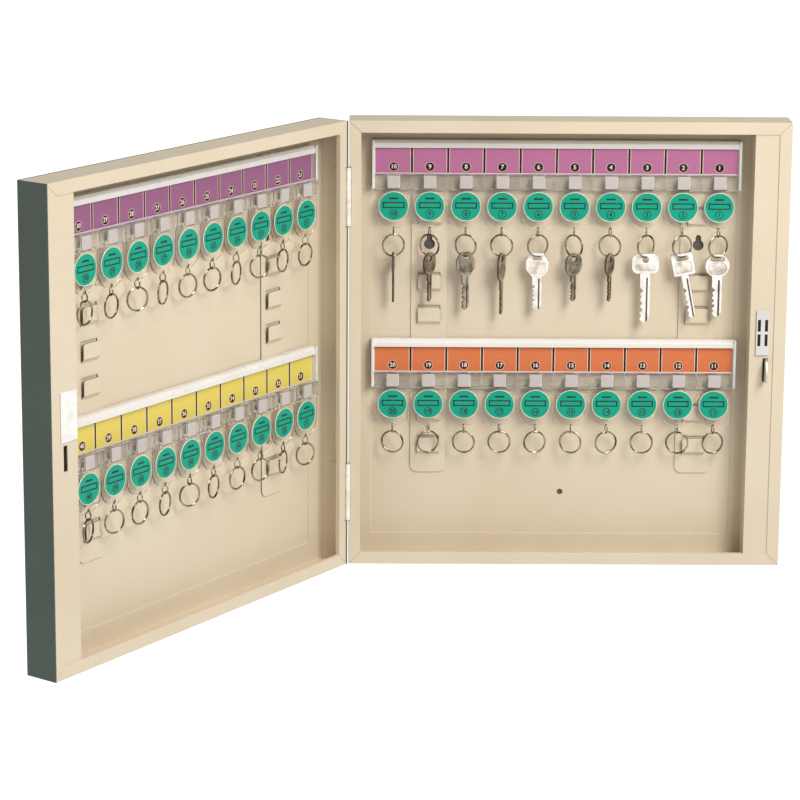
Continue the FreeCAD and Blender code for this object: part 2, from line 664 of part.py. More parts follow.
def hexagonal_nut(x, y, z):
    radius = NUT_ACROSS / 2 / cos(pi / 6)
    points = [(x + radius * cos(n * pi / 3), z + radius * sin(n * pi / 3)) for n in range(6)]
    nut = extruded(points, 1, y - NUT_HEIGHT, NUT_HEIGHT)
    return nut.cut(rod(BARREL_R, (x, y - NUT_HEIGHT - 1, z), (0, 1, 0), NUT_HEIGHT + 2))


def lock_pieces(floor):
    """Barrel, nut, plug, cam and cam screw; the cam lies across the door, unlocked."""
    x, z = lock_axis()
    barrel = rod(BARREL_R, (x, -BARREL_LENGTH, z), (0, 1, 0), BARREL_LENGTH)
    rim = rod(LOCK_RIM_R, (x, 0, z), (0, 1, 0), LOCK_RIM)
    bore = rod(PLUG_R + PLUG_FIT, (x, -BARREL_LENGTH - 1, z), (0, 1, 0), BARREL_LENGTH + 3)
    seat = rod(PLUG_FACE_R + PLUG_FIT, (x, LOCK_RIM - PLUG_FACE, z), (0, 1, 0), 2 * PLUG_FACE)
    body = cut(fuse([barrel, rim]), [bore, seat])
    nut = hexagonal_nut(x, -floor - SHEET, z)
    cam_back = -CAM_MID + CAM_SHEET / 2
    plug = fuse([rod(PLUG_R, (x, cam_back, z), (0, 1, 0), LOCK_RIM - PLUG_FACE - cam_back),
                 rod(PLUG_FACE_R, (x, LOCK_RIM - PLUG_FACE + FIT, z), (0, 1, 0), PLUG_FACE - FIT),
                 rod(PLUG_R, (x, LOCK_RIM - PLUG_FACE, z), (0, 1, 0), FIT),
                 box((x - SHANK_SIDE / 2, x + SHANK_SIDE / 2), (cam_back, cam_back - CAM_SHEET),
                     (z - SHANK_SIDE / 2, z + SHANK_SIDE / 2))])
    keyway = box((x - KEYWAY_WIDTH / 2, x + KEYWAY_WIDTH / 2), (-KEYWAY_DEPTH, LOCK_RIM + 1),
                 (z - KEYWAY_HEIGHT / 2, z + KEYWAY_HEIGHT / 2))
    thread = rod(SCREW_HOLE_R, (x, cam_back - CAM_SHEET - 1, z), (0, 1, 0), CAM_SHEET + 6)
    plug = cut(plug, [keyway, thread])
    half = CAM_WIDTH / 2
    cam = fuse([box((x, x + CAM_REACH - half), (cam_back, cam_back - CAM_SHEET),
                    (z - half, z + half)),
                rod(half, (x + CAM_REACH - half, cam_back - CAM_SHEET, z), (0, 1, 0), CAM_SHEET),
                rod(half + 1, (x, cam_back - CAM_SHEET, z), (0, 1, 0), CAM_SHEET)])
    square = SHANK_SIDE / 2 + PLUG_FIT
    cam = cam.cut(box((x - square, x + square), (0, -2 * CAM_MID), (z - square, z + square)))
    screw = fuse([rod(SCREW_HOLE_R, (x, cam_back - CAM_SHEET, z), (0, 1, 0), CAM_SHEET + 4),
                  rod(SCREW_R, (x, cam_back - CAM_SHEET - SCREW_HEAD, z), (0, 1, 0), SCREW_HEAD)])
    return {"lock_barrel": body, "lock_nut": nut, "lock_plug": plug, "lock_cam": cam,
            "lock_cam_screw": screw}


# ------------------------------------------------------------------ assembly
def strip_nodes(row, side, floor, first_number):
    """Everything of one strip; first_number is the cell number at the right-hand end."""
    top = strip_top((row - 1) % 2)
    nodes = {f"strip_{row}_rail": strip_rail(side, floor, top),
             f"strip_{row}_card": strip_card(side, floor, top)}
    plates, discs, rings = [], [], []
    for place in range(CELLS):
        x = cell_x(side, place)
        number = first_number + CELLS - 1 - place
        plate, disc = tag_plate(x, floor, top), tag_disc(x, floor, top)
        if row == 1:
            turn = KEYS[number][7]
            hung = link_and_ring(x, floor, top, turn) + [key(number, x, floor, top)]
            nodes[f"tag_{number:02d}"] = group([plate, disc])
            nodes[f"key_{number:02d}"] = group(hung)
            continue
        plates.append(plate)
        discs.append(disc)
        rings += link_and_ring(x, floor, top, RING_SWAY * sin(2.4 * number))
    if plates:
        nodes[f"strip_{row}_tags"] = group(plates)
        nodes[f"strip_{row}_discs"] = group(discs)
        nodes[f"strip_{row}_rings"] = group(rings)
    return nodes


def rear_half():
    side, floor = -1, SHEET
    case = tray_case(WIDTH, SHEET, REAR_DEPTH, LIP, side)
    keyholes = [keyhole(x) for x in hanger_x(side)]
    fixing = rod(FIXING_R, (FIXING_X, -2 * SHEET, FIXING_Z), (0, 1, 0), 4 * SHEET)
    openings = [catch_cutout(side), latch_slot(side, TONGUE_HEIGHT + 2)]
    nodes = {
        "rear_case": case,
        "rear_panel": back_sheet(WIDTH, 0, keyholes + [fixing]),
        "rear_lock_column": lock_column(floor, REAR_DEPTH, WIDTH, side, case, openings),
        "rear_hanger_plates": group([hanger_plate(x, floor, 3) for x in hanger_x(side)]),
        "catch_housing": magnet_catch(side, REAR_DEPTH),
        "catch_poles": catch_poles(side, REAR_DEPTH),
        "latch_tongue": latch_tongue(side, REAR_DEPTH),
        "rear_hinge_leaves": group([hinge_leaf(low, side, REAR_DEPTH, HALF_W - SHEET, (0, 2, 4))
                                    for low, _ in hinge_spans()]),
        "hinge_pins": group([hinge_pin(low) for low, _ in hinge_spans()]),
    }
    nodes.update(strip_nodes(1, side, floor, 1))
    nodes.update(strip_nodes(2, side, floor, 11))
    return nodes


def door_skin():
    """Painted outer sheet: the door's front with both upright sides folded round."""
    x, z = lock_axis()
    outer = box((-HALF_W, HALF_W), (0, -DOOR_DEPTH), (-HALF_H, HALF_H))
    inner = box((-HALF_W + SHEET, HALF_W - SHEET), (-SHEET, -DOOR_DEPTH - 1), (-HEIGHT, HEIGHT))
    hole = rod(BARREL_R + FIT, (x, -2 * SHEET, z), (0, 1, 0), 3 * SHEET)
    cover = box((HALF_W - SHEET, HALF_W), (-DOOR_DEPTH, -DOOR_DEPTH - SEAM_COVER), (-HALF_H, HALF_H))
    skin = fuse([cut(outer, [inner, hole]), cover])
    return cut(skin, hinge_notches(DOOR_DEPTH, 1, HALF_W - SHEET))


def door_half():
    """The door in its own half, hinge on the right, before it is hung."""
    side, floor = 1, 2 * SHEET
    width = WIDTH - 2 * SHEET
    x, z = lock_axis()
    hole = rod(BARREL_R + FIT, (x, -4 * SHEET, z), (0, 1, 0), 5 * SHEET)
    case = tray_case(width, floor, DOOR_DEPTH, LIP - SHEET, side).cut(hole)
    strike_x = column_mid(side, (LIP + COLUMN) / 2)
    strike_face = -DOOR_DEPTH + SHEET
    strike = COLUMN_GAP - CATCH_PROUD - STRIKE_GAP
    nodes = {
        "door_case": case,
        "door_skin": door_skin(),
        "door_panel": back_sheet(width - 2 * FIT + 2 * SHEET, SHEET, [hole]),
        "door_lock_column": lock_column(floor, DOOR_DEPTH, width, side, case,
                                        [latch_slot(side, LATCH_SLOT_HEIGHT)]),
        "door_hanger_plates": group([hanger_plate(x, floor) for x in hanger_x(side)]),
        "door_hinge_leaves": group([hinge_leaf(low, side, DOOR_DEPTH, width / 2 - SHEET, (1, 3))
                                    for low, _ in hinge_spans()]),
        "strike_plate": box((strike_x - STRIKE_WIDTH / 2, strike_x + STRIKE_WIDTH / 2),
                            (strike_face, strike_face - strike),
                            (CATCH_Z - CATCH_LENGTH / 2, CATCH_Z + CATCH_LENGTH / 2)),
    }
    nodes.update(lock_pieces(floor))
    nodes.update(strip_nodes(3, side, floor, 21))
    nodes.update(strip_nodes(4, side, floor, 31))
    return nodes


def hung(shape):
    """Carry a piece of the door's half to the cabinet, opened by OPEN_ANGLE."""
    copy = moved(shape, PIN_X - HINGE_OFFSET - HALF_W, DOOR_DEPTH - REAR_DEPTH, 0)
    return turned(copy, (PIN_X, PIN_Y, 0), (0, 0, 1), 180 - OPEN_ANGLE)


def cabinet():
    nodes = rear_half()
    for name, shape in door_half().items():
        nodes[name] = hung(shape)
    return nodes


os.makedirs("parts", exist_ok=True)
for node_name, node_shape in cabinet().items():
    node_shape.exportStep(f"parts/{node_name}.step")
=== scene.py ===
import json
import math

import bmesh
import bpy
import numpy as np
from mathutils import Matrix, Vector


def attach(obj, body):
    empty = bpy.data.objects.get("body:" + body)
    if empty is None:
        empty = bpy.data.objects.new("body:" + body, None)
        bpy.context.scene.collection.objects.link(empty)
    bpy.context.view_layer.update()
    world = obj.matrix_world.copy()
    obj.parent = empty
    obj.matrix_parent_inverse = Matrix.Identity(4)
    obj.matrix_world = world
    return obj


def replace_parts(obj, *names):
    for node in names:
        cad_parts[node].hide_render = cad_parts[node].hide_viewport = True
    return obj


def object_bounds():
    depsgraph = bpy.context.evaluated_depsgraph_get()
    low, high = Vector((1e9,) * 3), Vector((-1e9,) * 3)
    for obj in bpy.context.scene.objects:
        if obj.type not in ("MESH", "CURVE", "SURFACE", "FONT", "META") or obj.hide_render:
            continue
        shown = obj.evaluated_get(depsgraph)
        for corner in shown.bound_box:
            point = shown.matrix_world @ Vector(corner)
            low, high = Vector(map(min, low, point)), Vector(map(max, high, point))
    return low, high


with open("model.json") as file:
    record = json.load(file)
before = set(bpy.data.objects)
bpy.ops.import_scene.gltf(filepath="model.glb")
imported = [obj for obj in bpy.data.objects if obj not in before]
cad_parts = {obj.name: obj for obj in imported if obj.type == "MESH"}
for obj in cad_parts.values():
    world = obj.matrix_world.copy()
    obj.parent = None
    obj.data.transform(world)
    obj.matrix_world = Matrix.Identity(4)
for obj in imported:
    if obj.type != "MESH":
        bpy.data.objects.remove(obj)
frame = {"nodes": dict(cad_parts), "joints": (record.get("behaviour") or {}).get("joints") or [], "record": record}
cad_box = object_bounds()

MM = 0.001

# ---------------------------------------------------------------- rear tray
# The half that is screwed to the wall: a shallow tray of 1 mm steel with folded walls, lips
# and flanges, and a flat back sheet spot-welded on the flanges. Both are powder coated in
# cream, which leaves rounded edges, a fine orange peel and a faintly uneven tone.
WELD = 0.002 * MM
FOLD_ROUNDING = 0.45 * MM
SHEET_ROUNDING = 0.15 * MM
EDGE_FROM = math.radians(35)
EDGE_SEGMENTS = 2
FLAT_WITHIN = math.radians(1)
SMOOTH_WEIGHT = 60
CREAM = (0.65, 0.55, 0.405)
CREAM_SHADE = (0.575, 0.468, 0.32)
CREAM_HIGHLIGHT_COLOUR = (0.93, 0.87, 0.77)
CLOUD_SHARE = 0.4
GRAIN_SHARE = 0.25


def shader_group(name, inputs, outputs):
    """An empty shader group with its sockets, its entry and its exit."""
    tree = bpy.data.node_groups.new(name, "ShaderNodeTree")
    for label, kind, value in inputs:
        socket = tree.interface.new_socket(label, in_out="INPUT", socket_type="NodeSocket" + kind)
        socket.default_value = value
    for label, kind in outputs:
        tree.interface.new_socket(label, in_out="OUTPUT", socket_type="NodeSocket" + kind)
    return tree, tree.nodes.new("NodeGroupInput"), tree.nodes.new("NodeGroupOutput")


def noise(tree, where, scale, detail=2.0, stretch=None):
    """Noise over the piece, in its own place; stretch draws it out along an axis."""
    node = tree.nodes.new("ShaderNodeTexNoise")
    node.inputs["Scale"].default_value = scale
    node.inputs["Detail"].default_value = detail
    if stretch:
        mapping = tree.nodes.new("ShaderNodeMapping")
        mapping.inputs["Scale"].default_value = stretch
        tree.links.new(where, mapping.inputs["Vector"])
        where = mapping.outputs["Vector"]
    tree.links.new(where, node.inputs["Vector"])
    return node.outputs["Fac"]


def spread(tree, value, low, high, new_low=0.0, new_high=1.0):
    """Stretches the values from low to high over a new range."""
    node = tree.nodes.new("ShaderNodeMapRange")
    for name, number in (("From Min", low), ("From Max", high), ("To Min", new_low),
                         ("To Max", new_high)):
        node.inputs[name].default_value = number
    tree.links.new(value, node.inputs["Value"])
    return node.outputs["Result"]


def sum_of(tree, a, b, operation="ADD"):
    """Two values added, multiplied or subtracted, or the greater of them."""
    node = tree.nodes.new("ShaderNodeMath")
    node.operation = operation
    for socket, value in zip(node.inputs, (a, b)):
        if isinstance(value, (int, float)):
            socket.default_value = value
        else:
            tree.links.new(value, socket)
    return node.outputs["Value"]


def blend_of(tree, share, a, b):
    """Colour a turning into colour b with share."""
    node = tree.nodes.new("ShaderNodeMix")
    node.data_type = "RGBA"
    tree.links.new(share, node.inputs["Factor"])
    first_colour, second_colour = 6, 7
    for socket, value in ((node.inputs[first_colour], a), (node.inputs[second_colour], b)):
        if isinstance(value, tuple):
            socket.default_value = (*value, 1)
        else:
            tree.links.new(value, socket)
    mixed_colour = 2
    return node.outputs[mixed_colour]


def own_place(tree):
    """Position on the piece, in its own coordinates."""
    return tree.nodes.new("ShaderNodeTexCoord").outputs["Object"]


def build_powder_coat():
    """Baked powder paint: soft clouds and flecks of a darker shade, orange peel and grain."""
    tree, entry, out = shader_group(
        "powder_coat",
        [("Paint", "Color", (0.8, 0.8, 0.8, 1)), ("Shade", "Color", (0.6, 0.6, 0.6, 1)),
         ("Gloss", "Float", 0.4)],
        [("Color", "Color"), ("Roughness", "Float"), ("Height", "Float")])
    place = own_place(tree)
    clouds = noise(tree, place, scale=11.0, detail=3.0)
    cloud = spread(tree, clouds, low=0.35, high=0.7)
    flecks = noise(tree, place, scale=1500.0, detail=1.0)
    fleck = spread(tree, flecks, low=0.62, high=0.8, new_high=0.35)
    tone = blend_of(tree, sum_of(tree, cloud, CLOUD_SHARE, "MULTIPLY"),
                    entry.outputs["Paint"], entry.outputs["Shade"])
    tree.links.new(blend_of(tree, fleck, tone, entry.outputs["Shade"]), out.inputs["Color"])
    peel = noise(tree, place, scale=520.0, detail=1.5)
    grain = noise(tree, place, scale=2600.0, detail=1.0)
    height = sum_of(tree, peel, sum_of(tree, grain, GRAIN_SHARE, "MULTIPLY"))
    tree.links.new(height, out.inputs["Height"])
    patches = noise(tree, place, scale=38.0, detail=3.0)
    patch = spread(tree, patches, low=0.3, high=0.7, new_low=-0.05, new_high=0.07)
    tree.links.new(sum_of(tree, entry.outputs["Gloss"], patch), out.inputs["Roughness"])
    return tree


powder_coat = build_powder_coat()


def grouped_material(name, group, values, bump=0.1, depth=0.1 * MM, coat=0.0, metallic=None,
                     specular=0.5):
    """A material whose colour, roughness and bump come from a shader group."""
    material = bpy.data.materials.new(name)
    material.use_nodes = True
    tree = material.node_tree
    shader = tree.nodes["Principled BSDF"]
    effect = tree.nodes.new("ShaderNodeGroup")
    effect.node_tree = group
    for label, value in values.items():
        effect.inputs[label].default_value = (*value, 1) if isinstance(value, tuple) else value
    relief = tree.nodes.new("ShaderNodeBump")
    relief.inputs["Strength"].default_value = bump
    relief.inputs["Distance"].default_value = depth
    tree.links.new(effect.outputs["Color"], shader.inputs["Base Color"])
    tree.links.new(effect.outputs["Roughness"], shader.inputs["Roughness"])
    tree.links.new(effect.outputs["Height"], relief.inputs["Height"])
    tree.links.new(relief.outputs["Normal"], shader.inputs["Normal"])
    shader.inputs["Specular IOR Level"].default_value = specular
    shader.inputs["Coat Weight"].default_value = coat
    shader.inputs["Coat Roughness"].default_value = 0.25
    if metallic is not None:
        shader.inputs["Metallic"].default_value = metallic
    return material


def round_edges(piece, rounding):
    """Rounds the edges in the piece's last finish and evens out the shading."""
    edge = piece.modifiers.new("edge", "BEVEL")
    edge.width = rounding
    edge.segments = EDGE_SEGMENTS
    edge.limit_method = "ANGLE"
    edge.angle_limit = EDGE_FROM
    edge.material = len(piece.data.materials) - 1
    shading = piece.modifiers.new("shading", "WEIGHTED_NORMAL")
    shading.weight = SMOOTH_WEIGHT


def soften(piece, rounding):
    """Joins the faces of one plane and rounds the edges, as a fold or a moulding has them."""
    weld = piece.modifiers.new("weld", "WELD")
    weld.merge_threshold = WELD
    planes = piece.modifiers.new("planes", "DECIMATE")
    planes.decimate_type = "DISSOLVE"
    planes.angle_limit = FLAT_WITHIN
    round_edges(piece, rounding)


def dressed(node, *materials, rounding=FOLD_ROUNDING):
    """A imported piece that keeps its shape, with finishes; rounded edges take the last one."""
    piece = frame["nodes"][node]
    piece.data.materials.clear()
    for material in materials:
        piece.data.materials.append(material)
    soften(piece, rounding)
    return piece


cream_paint = grouped_material("cream_powder_coat", powder_coat,
                               {"Paint": CREAM, "Shade": CREAM_SHADE, "Gloss": 0.42},
                               bump=0.22, depth=0.12 * MM)
# The rounded folds of the trays and columns are painted a paler cream: a painted highlight.
cream_painted_highlight = grouped_material("cream_painted_edge_highlight", powder_coat,
                              {"Paint": CREAM_HIGHLIGHT_COLOUR, "Shade": CREAM, "Gloss": 0.35},
                              bump=0.1, depth=0.12 * MM)
dressed("rear_case", cream_paint, cream_painted_highlight)
dressed("rear_panel", cream_paint, rounding=SHEET_ROUNDING)

# ---------------------------------------------------------------- rear lock column
# A folded channel welded inside the lock side of the tray, in the same cream coat. Its face
# lies just behind the lip and is cut out for the magnetic catch and the latch tongue.
dressed("rear_lock_column", cream_paint, cream_painted_highlight)

# ---------------------------------------------------------------- magnetic catch
# A white moulded housing clipped into the column, with four windows in its rim, and dark
# steel pole plates that stand a little below its face.
HOUSING_WHITE = (0.62, 0.60, 0.565)
POLE_STEEL = (0.02, 0.02, 0.019)
SINK_SHARE = 1.5
MARK_SHARE = 0.5


def build_moulded_plastic():
    """Moulded plastic: faint flow lines, a fine skin and shallow sink marks."""
    tree, entry, out = shader_group(
        "moulded_plastic",
        [("Plastic", "Color", (0.8, 0.8, 0.8, 1)), ("Deep", "Color", (0.7, 0.7, 0.7, 1)),
         ("Gloss", "Float", 0.3)],
        [("Color", "Color"), ("Roughness", "Float"), ("Height", "Float")])
    place = own_place(tree)
    lines = noise(tree, place, scale=45.0, detail=2.0, stretch=(0.25, 1, 1))
    flow = spread(tree, lines, low=0.35, high=0.75, new_high=0.6)
    tree.links.new(blend_of(tree, flow, entry.outputs["Plastic"], entry.outputs["Deep"]),
                   out.inputs["Color"])
    skin = noise(tree, place, scale=900.0, detail=2.0)
    sink = noise(tree, place, scale=90.0, detail=1.0)
    height = sum_of(tree, skin, sum_of(tree, sink, SINK_SHARE, "MULTIPLY"))
    tree.links.new(height, out.inputs["Height"])
    wipes = noise(tree, place, scale=160.0, detail=3.0, stretch=(0.3, 1, 1))
    wipe = spread(tree, wipes, low=0.3, high=0.7, new_low=-0.06, new_high=0.08)
    tree.links.new(sum_of(tree, entry.outputs["Gloss"], wipe), out.inputs["Roughness"])
    return tree


def build_worked_metal():
    """Rolled or drawn metal: stains of tarnish, fine lines and short marks."""
    tree, entry, out = shader_group(
        "worked_metal",
        [("Metal", "Color", (0.6, 0.6, 0.6, 1)), ("Tarnish", "Color", (0.3, 0.3, 0.3, 1)),
         ("Age", "Float", 0.3), ("Gloss", "Float", 0.25)],
        [("Color", "Color"), ("Roughness", "Float"), ("Height", "Float")])
    place = own_place(tree)
    cloud = spread(tree, noise(tree, place, scale=140.0, detail=4.0), low=0.42, high=0.68)
    stain = sum_of(tree, cloud, entry.outputs["Age"], "MULTIPLY")
    tree.links.new(blend_of(tree, stain, entry.outputs["Metal"], entry.outputs["Tarnish"]),
                   out.inputs["Color"])
    lines = noise(tree, place, scale=260.0, detail=3.0, stretch=(9.0, 9.0, 0.5))
    scratches = noise(tree, place, scale=700.0, detail=2.0, stretch=(0.4, 1, 4))
    marks = spread(tree, scratches, low=0.55, high=0.75)
    height = sum_of(tree, lines, sum_of(tree, marks, MARK_SHARE, "MULTIPLY"))
    tree.links.new(height, out.inputs["Height"])
    rub = spread(tree, lines, low=0.3, high=0.7, new_low=-0.07, new_high=0.12)
    tree.links.new(sum_of(tree, entry.outputs["Gloss"], rub), out.inputs["Roughness"])
    return tree


moulded_plastic = build_moulded_plastic()
worked_metal = build_worked_metal()
housing_white = grouped_material("housing_white", moulded_plastic,
                                 {"Plastic": HOUSING_WHITE, "Deep": (0.54, 0.52, 0.49),
                                  "Gloss": 0.38}, bump=0.12, depth=0.05 * MM)
pole_steel = grouped_material("pole_steel", worked_metal,
                              {"Metal": POLE_STEEL, "Tarnish": (0.02, 0.018, 0.016), "Age": 0.6,
                               "Gloss": 0.45}, bump=0.1, depth=0.03 * MM, metallic=0.7)
dressed("catch_housing", housing_white, rounding=0.35 * MM)
dressed("catch_poles", pole_steel, rounding=0.12 * MM)

# ---------------------------------------------------------------- latch tongue
# A stamped steel angle screwed behind the column; its notched tongue comes through a slot
# and the lock's cam turns up into the notch. It is zinc plated.
ZINC = (0.74, 0.70, 0.60)
ZINC_DULL = (0.42, 0.38, 0.30)

zinc_steel = grouped_material("zinc_plate", worked_metal,
                              {"Metal": ZINC, "Tarnish": ZINC_DULL, "Age": 0.55, "Gloss": 0.36},
                              bump=0.12, depth=0.04 * MM, metallic=0.9)
dressed("latch_tongue", zinc_steel, rounding=0.2 * MM)

# ---------------------------------------------------------------- rear hanger plates
# Two pressed plates on the back sheet, each a ladder of forward pockets that the key strips
# hook on to, with a keyhole for the wall screw in place of one pocket. Cream coated; every
# face that does not face the front is painted dark brown as shade in the pockets and windows.
# Dark brown for the pocket walls, the tabs' backs and the window edges: painted shade.
painted_pocket_shade = grouped_material("cream_painted_pocket_shade", powder_coat,
                            {"Paint": (0.12, 0.095, 0.06), "Shade": (0.07, 0.055, 0.035),
                             "Gloss": 0.5}, bump=0.2, depth=0.1 * MM)
FACES_FRONT = -0.3


def hanger_plates(node, carry):
    """Hanger plates in cream, with painted dark shade on all that does not face the front."""
    plates = dressed(node, cream_paint, painted_pocket_shade)
    turn = carry.inverted().to_3x3()
    for face in plates.data.polygons:
        face.material_index = int((turn @ face.normal).y > FACES_FRONT)


hanger_plates("rear_hanger_plates", Matrix.Identity(4))

# ---------------------------------------------------------------- hinges
# Two butt hinges with five rolled knuckles. The leaves are welded on the inner face of the
# walls and painted with them; the knuckles and the pins' heads are pale plated, and their
# rounded edges are painted dark brown as shade at the gaps.
HINGE_STEEL = (0.90, 0.86, 0.78)
KNUCKLE_REACH = 2.8 * MM

hinge_steel = grouped_material("hinge_steel", worked_metal,
                               {"Metal": HINGE_STEEL, "Tarnish": (0.62, 0.52, 0.38), "Age": 0.5,
                                "Gloss": 0.34}, bump=0.12, depth=0.04 * MM, metallic=0.15)
# The hinges' rounded edges are painted dark brown: painted shade at the gaps.
hinge_painted_gap_shade = grouped_material("hinge_painted_gap_shade_edge", worked_metal,
                              {"Metal": (0.26, 0.20, 0.13), "Tarnish": (0.15, 0.11, 0.07),
                               "Age": 0.5, "Gloss": 0.45}, bump=0.1, depth=0.03 * MM, metallic=0.4)
hinge = next(joint for joint in frame["joints"] if joint["name"] == "door_hinge")
pin = Vector(hinge["pos_m"])
turn_from_flat = math.pi + math.radians(hinge["range_deg"][0])
door_carry = (Matrix.Translation(pin) @ Matrix.Rotation(turn_from_flat, 4, "Z")
              @ Matrix.Translation(-pin))
for node in ("rear_hinge_leaves", "door_hinge_leaves", "hinge_pins"):
    leaves = dressed(node, hinge_steel, cream_paint, hinge_painted_gap_shade, rounding=0.3 * MM)
    for face in leaves.data.polygons:
        face.material_index = int((face.center - pin).to_2d().length > KNUCKLE_REACH)

# ---------------------------------------------------------------- door tray
# The door is a second tray of the same make, coated cream inside, with its own back sheet,
# lock column and hanger plates. It swings on the hinges and closes lip to lip.
for node in ("door_case", "door_lock_column"):
    dressed(node, cream_paint, cream_painted_highlight)
hanger_plates("door_hanger_plates", door_carry)
dressed("door_panel", cream_paint, rounding=SHEET_ROUNDING)

# ---------------------------------------------------------------- door skin
# The sheet that covers the door's front and is folded round both upright sides. It has a
# dark grey-green powder coat, with a coarser texture than the cream one inside.
GREEN = (0.075, 0.104, 0.080)
GREEN_SHADE = (0.053, 0.075, 0.057)

green_paint = grouped_material("green_powder_coat", powder_coat,
                               {"Paint": GREEN, "Shade": GREEN_SHADE, "Gloss": 0.5},
                               bump=0.35, depth=0.15 * MM)
dressed("door_skin", green_paint, rounding=0.25 * MM)

# ---------------------------------------------------------------- strike plate
# A plain nickel-plated steel plate on the door's column, which the catch's poles grip.
strike_steel = grouped_material("strike_plate_steel", worked_metal,
                                {"Metal": (0.93, 0.91, 0.87), "Tarnish": (0.70, 0.67, 0.62),
                                 "Age": 0.5, "Gloss": 0.42}, bump=0.1, depth=0.03 * MM,
                                metallic=0.35)
dressed("strike_plate", strike_steel, rounding=0.3 * MM)

# ---------------------------------------------------------------- cam lock
# A die-cast barrel with a rim on the door's front, held by a hexagonal nut. The chromed plug
# turns a pressed steel cam, which is fixed by a small screw and hooks on the latch tongue.
CHROME = (0.74, 0.74, 0.73)

chrome = grouped_material("lock_chrome", worked_metal,
                          {"Metal": CHROME, "Tarnish": (0.45, 0.44, 0.42), "Age": 0.3,
                           "Gloss": 0.16}, bump=0.08, depth=0.03 * MM, metallic=1.0)
for node, rounding in (("lock_barrel", 0.3 * MM), ("lock_plug", 0.2 * MM)):
    dressed(node, chrome, rounding=rounding)
for node, rounding in (("lock_nut", 0.35 * MM), ("lock_cam", 0.25 * MM),
                       ("lock_cam_screw", 0.25 * MM)):
    dressed(node, zinc_steel, rounding=rounding)

# ---------------------------------------------------------------- key strips' rails
# Four white mouldings that hang on the pocket hooks and lift off: a bevelled upper lip, a
# groove for the number card, end caps and ten J-shaped hooks. The hooks and the thin web
# behind them are painted greyer than the lip as shade, and the rounded edges paler as a
# highlight.
WHITE = (0.74, 0.71, 0.66)
# The hooks and the web behind them are painted grey and dark brown: painted shade.
HOOK_PAINTED_SHADE_COLOUR = (0.50, 0.45, 0.42)
WEB_PAINTED_SHADE_COLOUR = (0.40, 0.34, 0.27)
WEB_SHARE = 0.30
HOOK_LINE = 8.0 * MM
HOOK_PAINTED_SHADE_SLOT = 1
WEB_PAINTED_SHADE_SLOT = 2
STRIPS = (1, 2, 3, 4)
REAR_STRIPS = (1, 2)

white_plastic = grouped_material("white_plastic", moulded_plastic,
                                 {"Plastic": WHITE, "Deep": (0.66, 0.62, 0.56), "Gloss": 0.30},
                                 bump=0.1, depth=0.05 * MM, coat=0.25)
hook_painted_shade = grouped_material("hook_painted_shade", moulded_plastic,
                                {"Plastic": HOOK_PAINTED_SHADE_COLOUR, "Deep": (0.44, 0.39, 0.36),
                                 "Gloss": 0.35}, bump=0.1, depth=0.05 * MM)
web_painted_shade = grouped_material("thin_web_painted_shade", moulded_plastic,
                               {"Plastic": WEB_PAINTED_SHADE_COLOUR, "Deep": (0.13, 0.10, 0.07), "Gloss": 0.4},
                               bump=0.1, depth=0.05 * MM)
# The rails' rounded edges are painted paler than the lip: a painted highlight.
moulded_painted_highlight = grouped_material("moulded_painted_highlight", moulded_plastic,
                                {"Plastic": (0.88, 0.86, 0.82), "Deep": WHITE, "Gloss": 0.2},
                                bump=0.05, depth=0.03 * MM, coat=0.5)


def carry_of(strip):
    """Carries a strip from the plane of the rear tray to where its half stands."""
    return Matrix.Identity(4) if strip in REAR_STRIPS else door_carry


for strip in STRIPS:
    rail = dressed(f"strip_{strip}_rail", white_plastic, hook_painted_shade, web_painted_shade,
                   moulded_painted_highlight, rounding=0.28 * MM)
    back = carry_of(strip).inverted()
    corners = np.array([back @ v.co for v in rail.data.vertices])
    lowest, front = corners[:, 2].min(), corners[:, 1].min()
    hook_height = (corners[:, 2].max() - lowest) * WEB_SHARE
    for face in rail.data.polygons:
        middle = back @ face.center
        if middle.z < lowest + hook_height:
            hook = middle.y < front + HOOK_LINE
            face.material_index = HOOK_PAINTED_SHADE_SLOT if hook else WEB_PAINTED_SHADE_SLOT

# ---------------------------------------------------------------- number cards
# A printed paper card slides into each rail's groove. Each cell has one colour between
# black bars, and a black disc with a pale ring round its number. One colour for each strip.
CARD_COLOURS = {1: (0.46, 0.14, 0.285), 2: (0.61, 0.15, 0.04), 3: (0.285, 0.095, 0.205),
                4: (0.66, 0.52, 0.085)}
PAPER = (0.85, 0.82, 0.78)
COLOURED, BLACK, PALE = 0, 1, 2
CELLS = 10
BAR = 1.8 * MM
BAR_EDGE = 0.5 * MM
CARD_RING_R = 4.0 * MM
CARD_DISC_R = 3.65 * MM
CARD_DISC_UP = 5.4 * MM
CARD_DIGITS = 5.0 * MM
INK_STEP = 0.03 * MM
DIGIT_CURVE_STEPS = 3
DIGIT_BOLDNESS = 0.03
CARD_SLOTS = {1: "card_pink", 2: "card_orange", 3: "card_purple", 4: "card_yellow"}


def flat_box(node, carry):
    """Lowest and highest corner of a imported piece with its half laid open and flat."""
    back = carry.inverted()
    places = np.array([back @ v.co for v in frame["nodes"][node].data.vertices])
    return Vector(places.min(0)), Vector(places.max(0))


def made(name, parts, materials, carry, body):
    """One object from parts: each has points, faces, and one material number or one a face."""
    points, faces, numbers = [], [], []
    for part_points, part_faces, number in parts:
        start = len(points)
        points += [carry @ Vector(p) for p in part_points]
        faces += [[start + i for i in face] for face in part_faces]
        numbers += [number] * len(part_faces) if isinstance(number, int) else number
    mesh = bpy.data.meshes.new(name)
    mesh.from_pydata(points, [], faces)
    for material in materials:
        mesh.materials.append(material)
    mesh.polygons.foreach_set("material_index", numbers)
    mesh.update()
    piece = bpy.data.objects.new(name, mesh)
    bpy.context.scene.collection.objects.link(piece)
    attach(piece, body)
    return piece


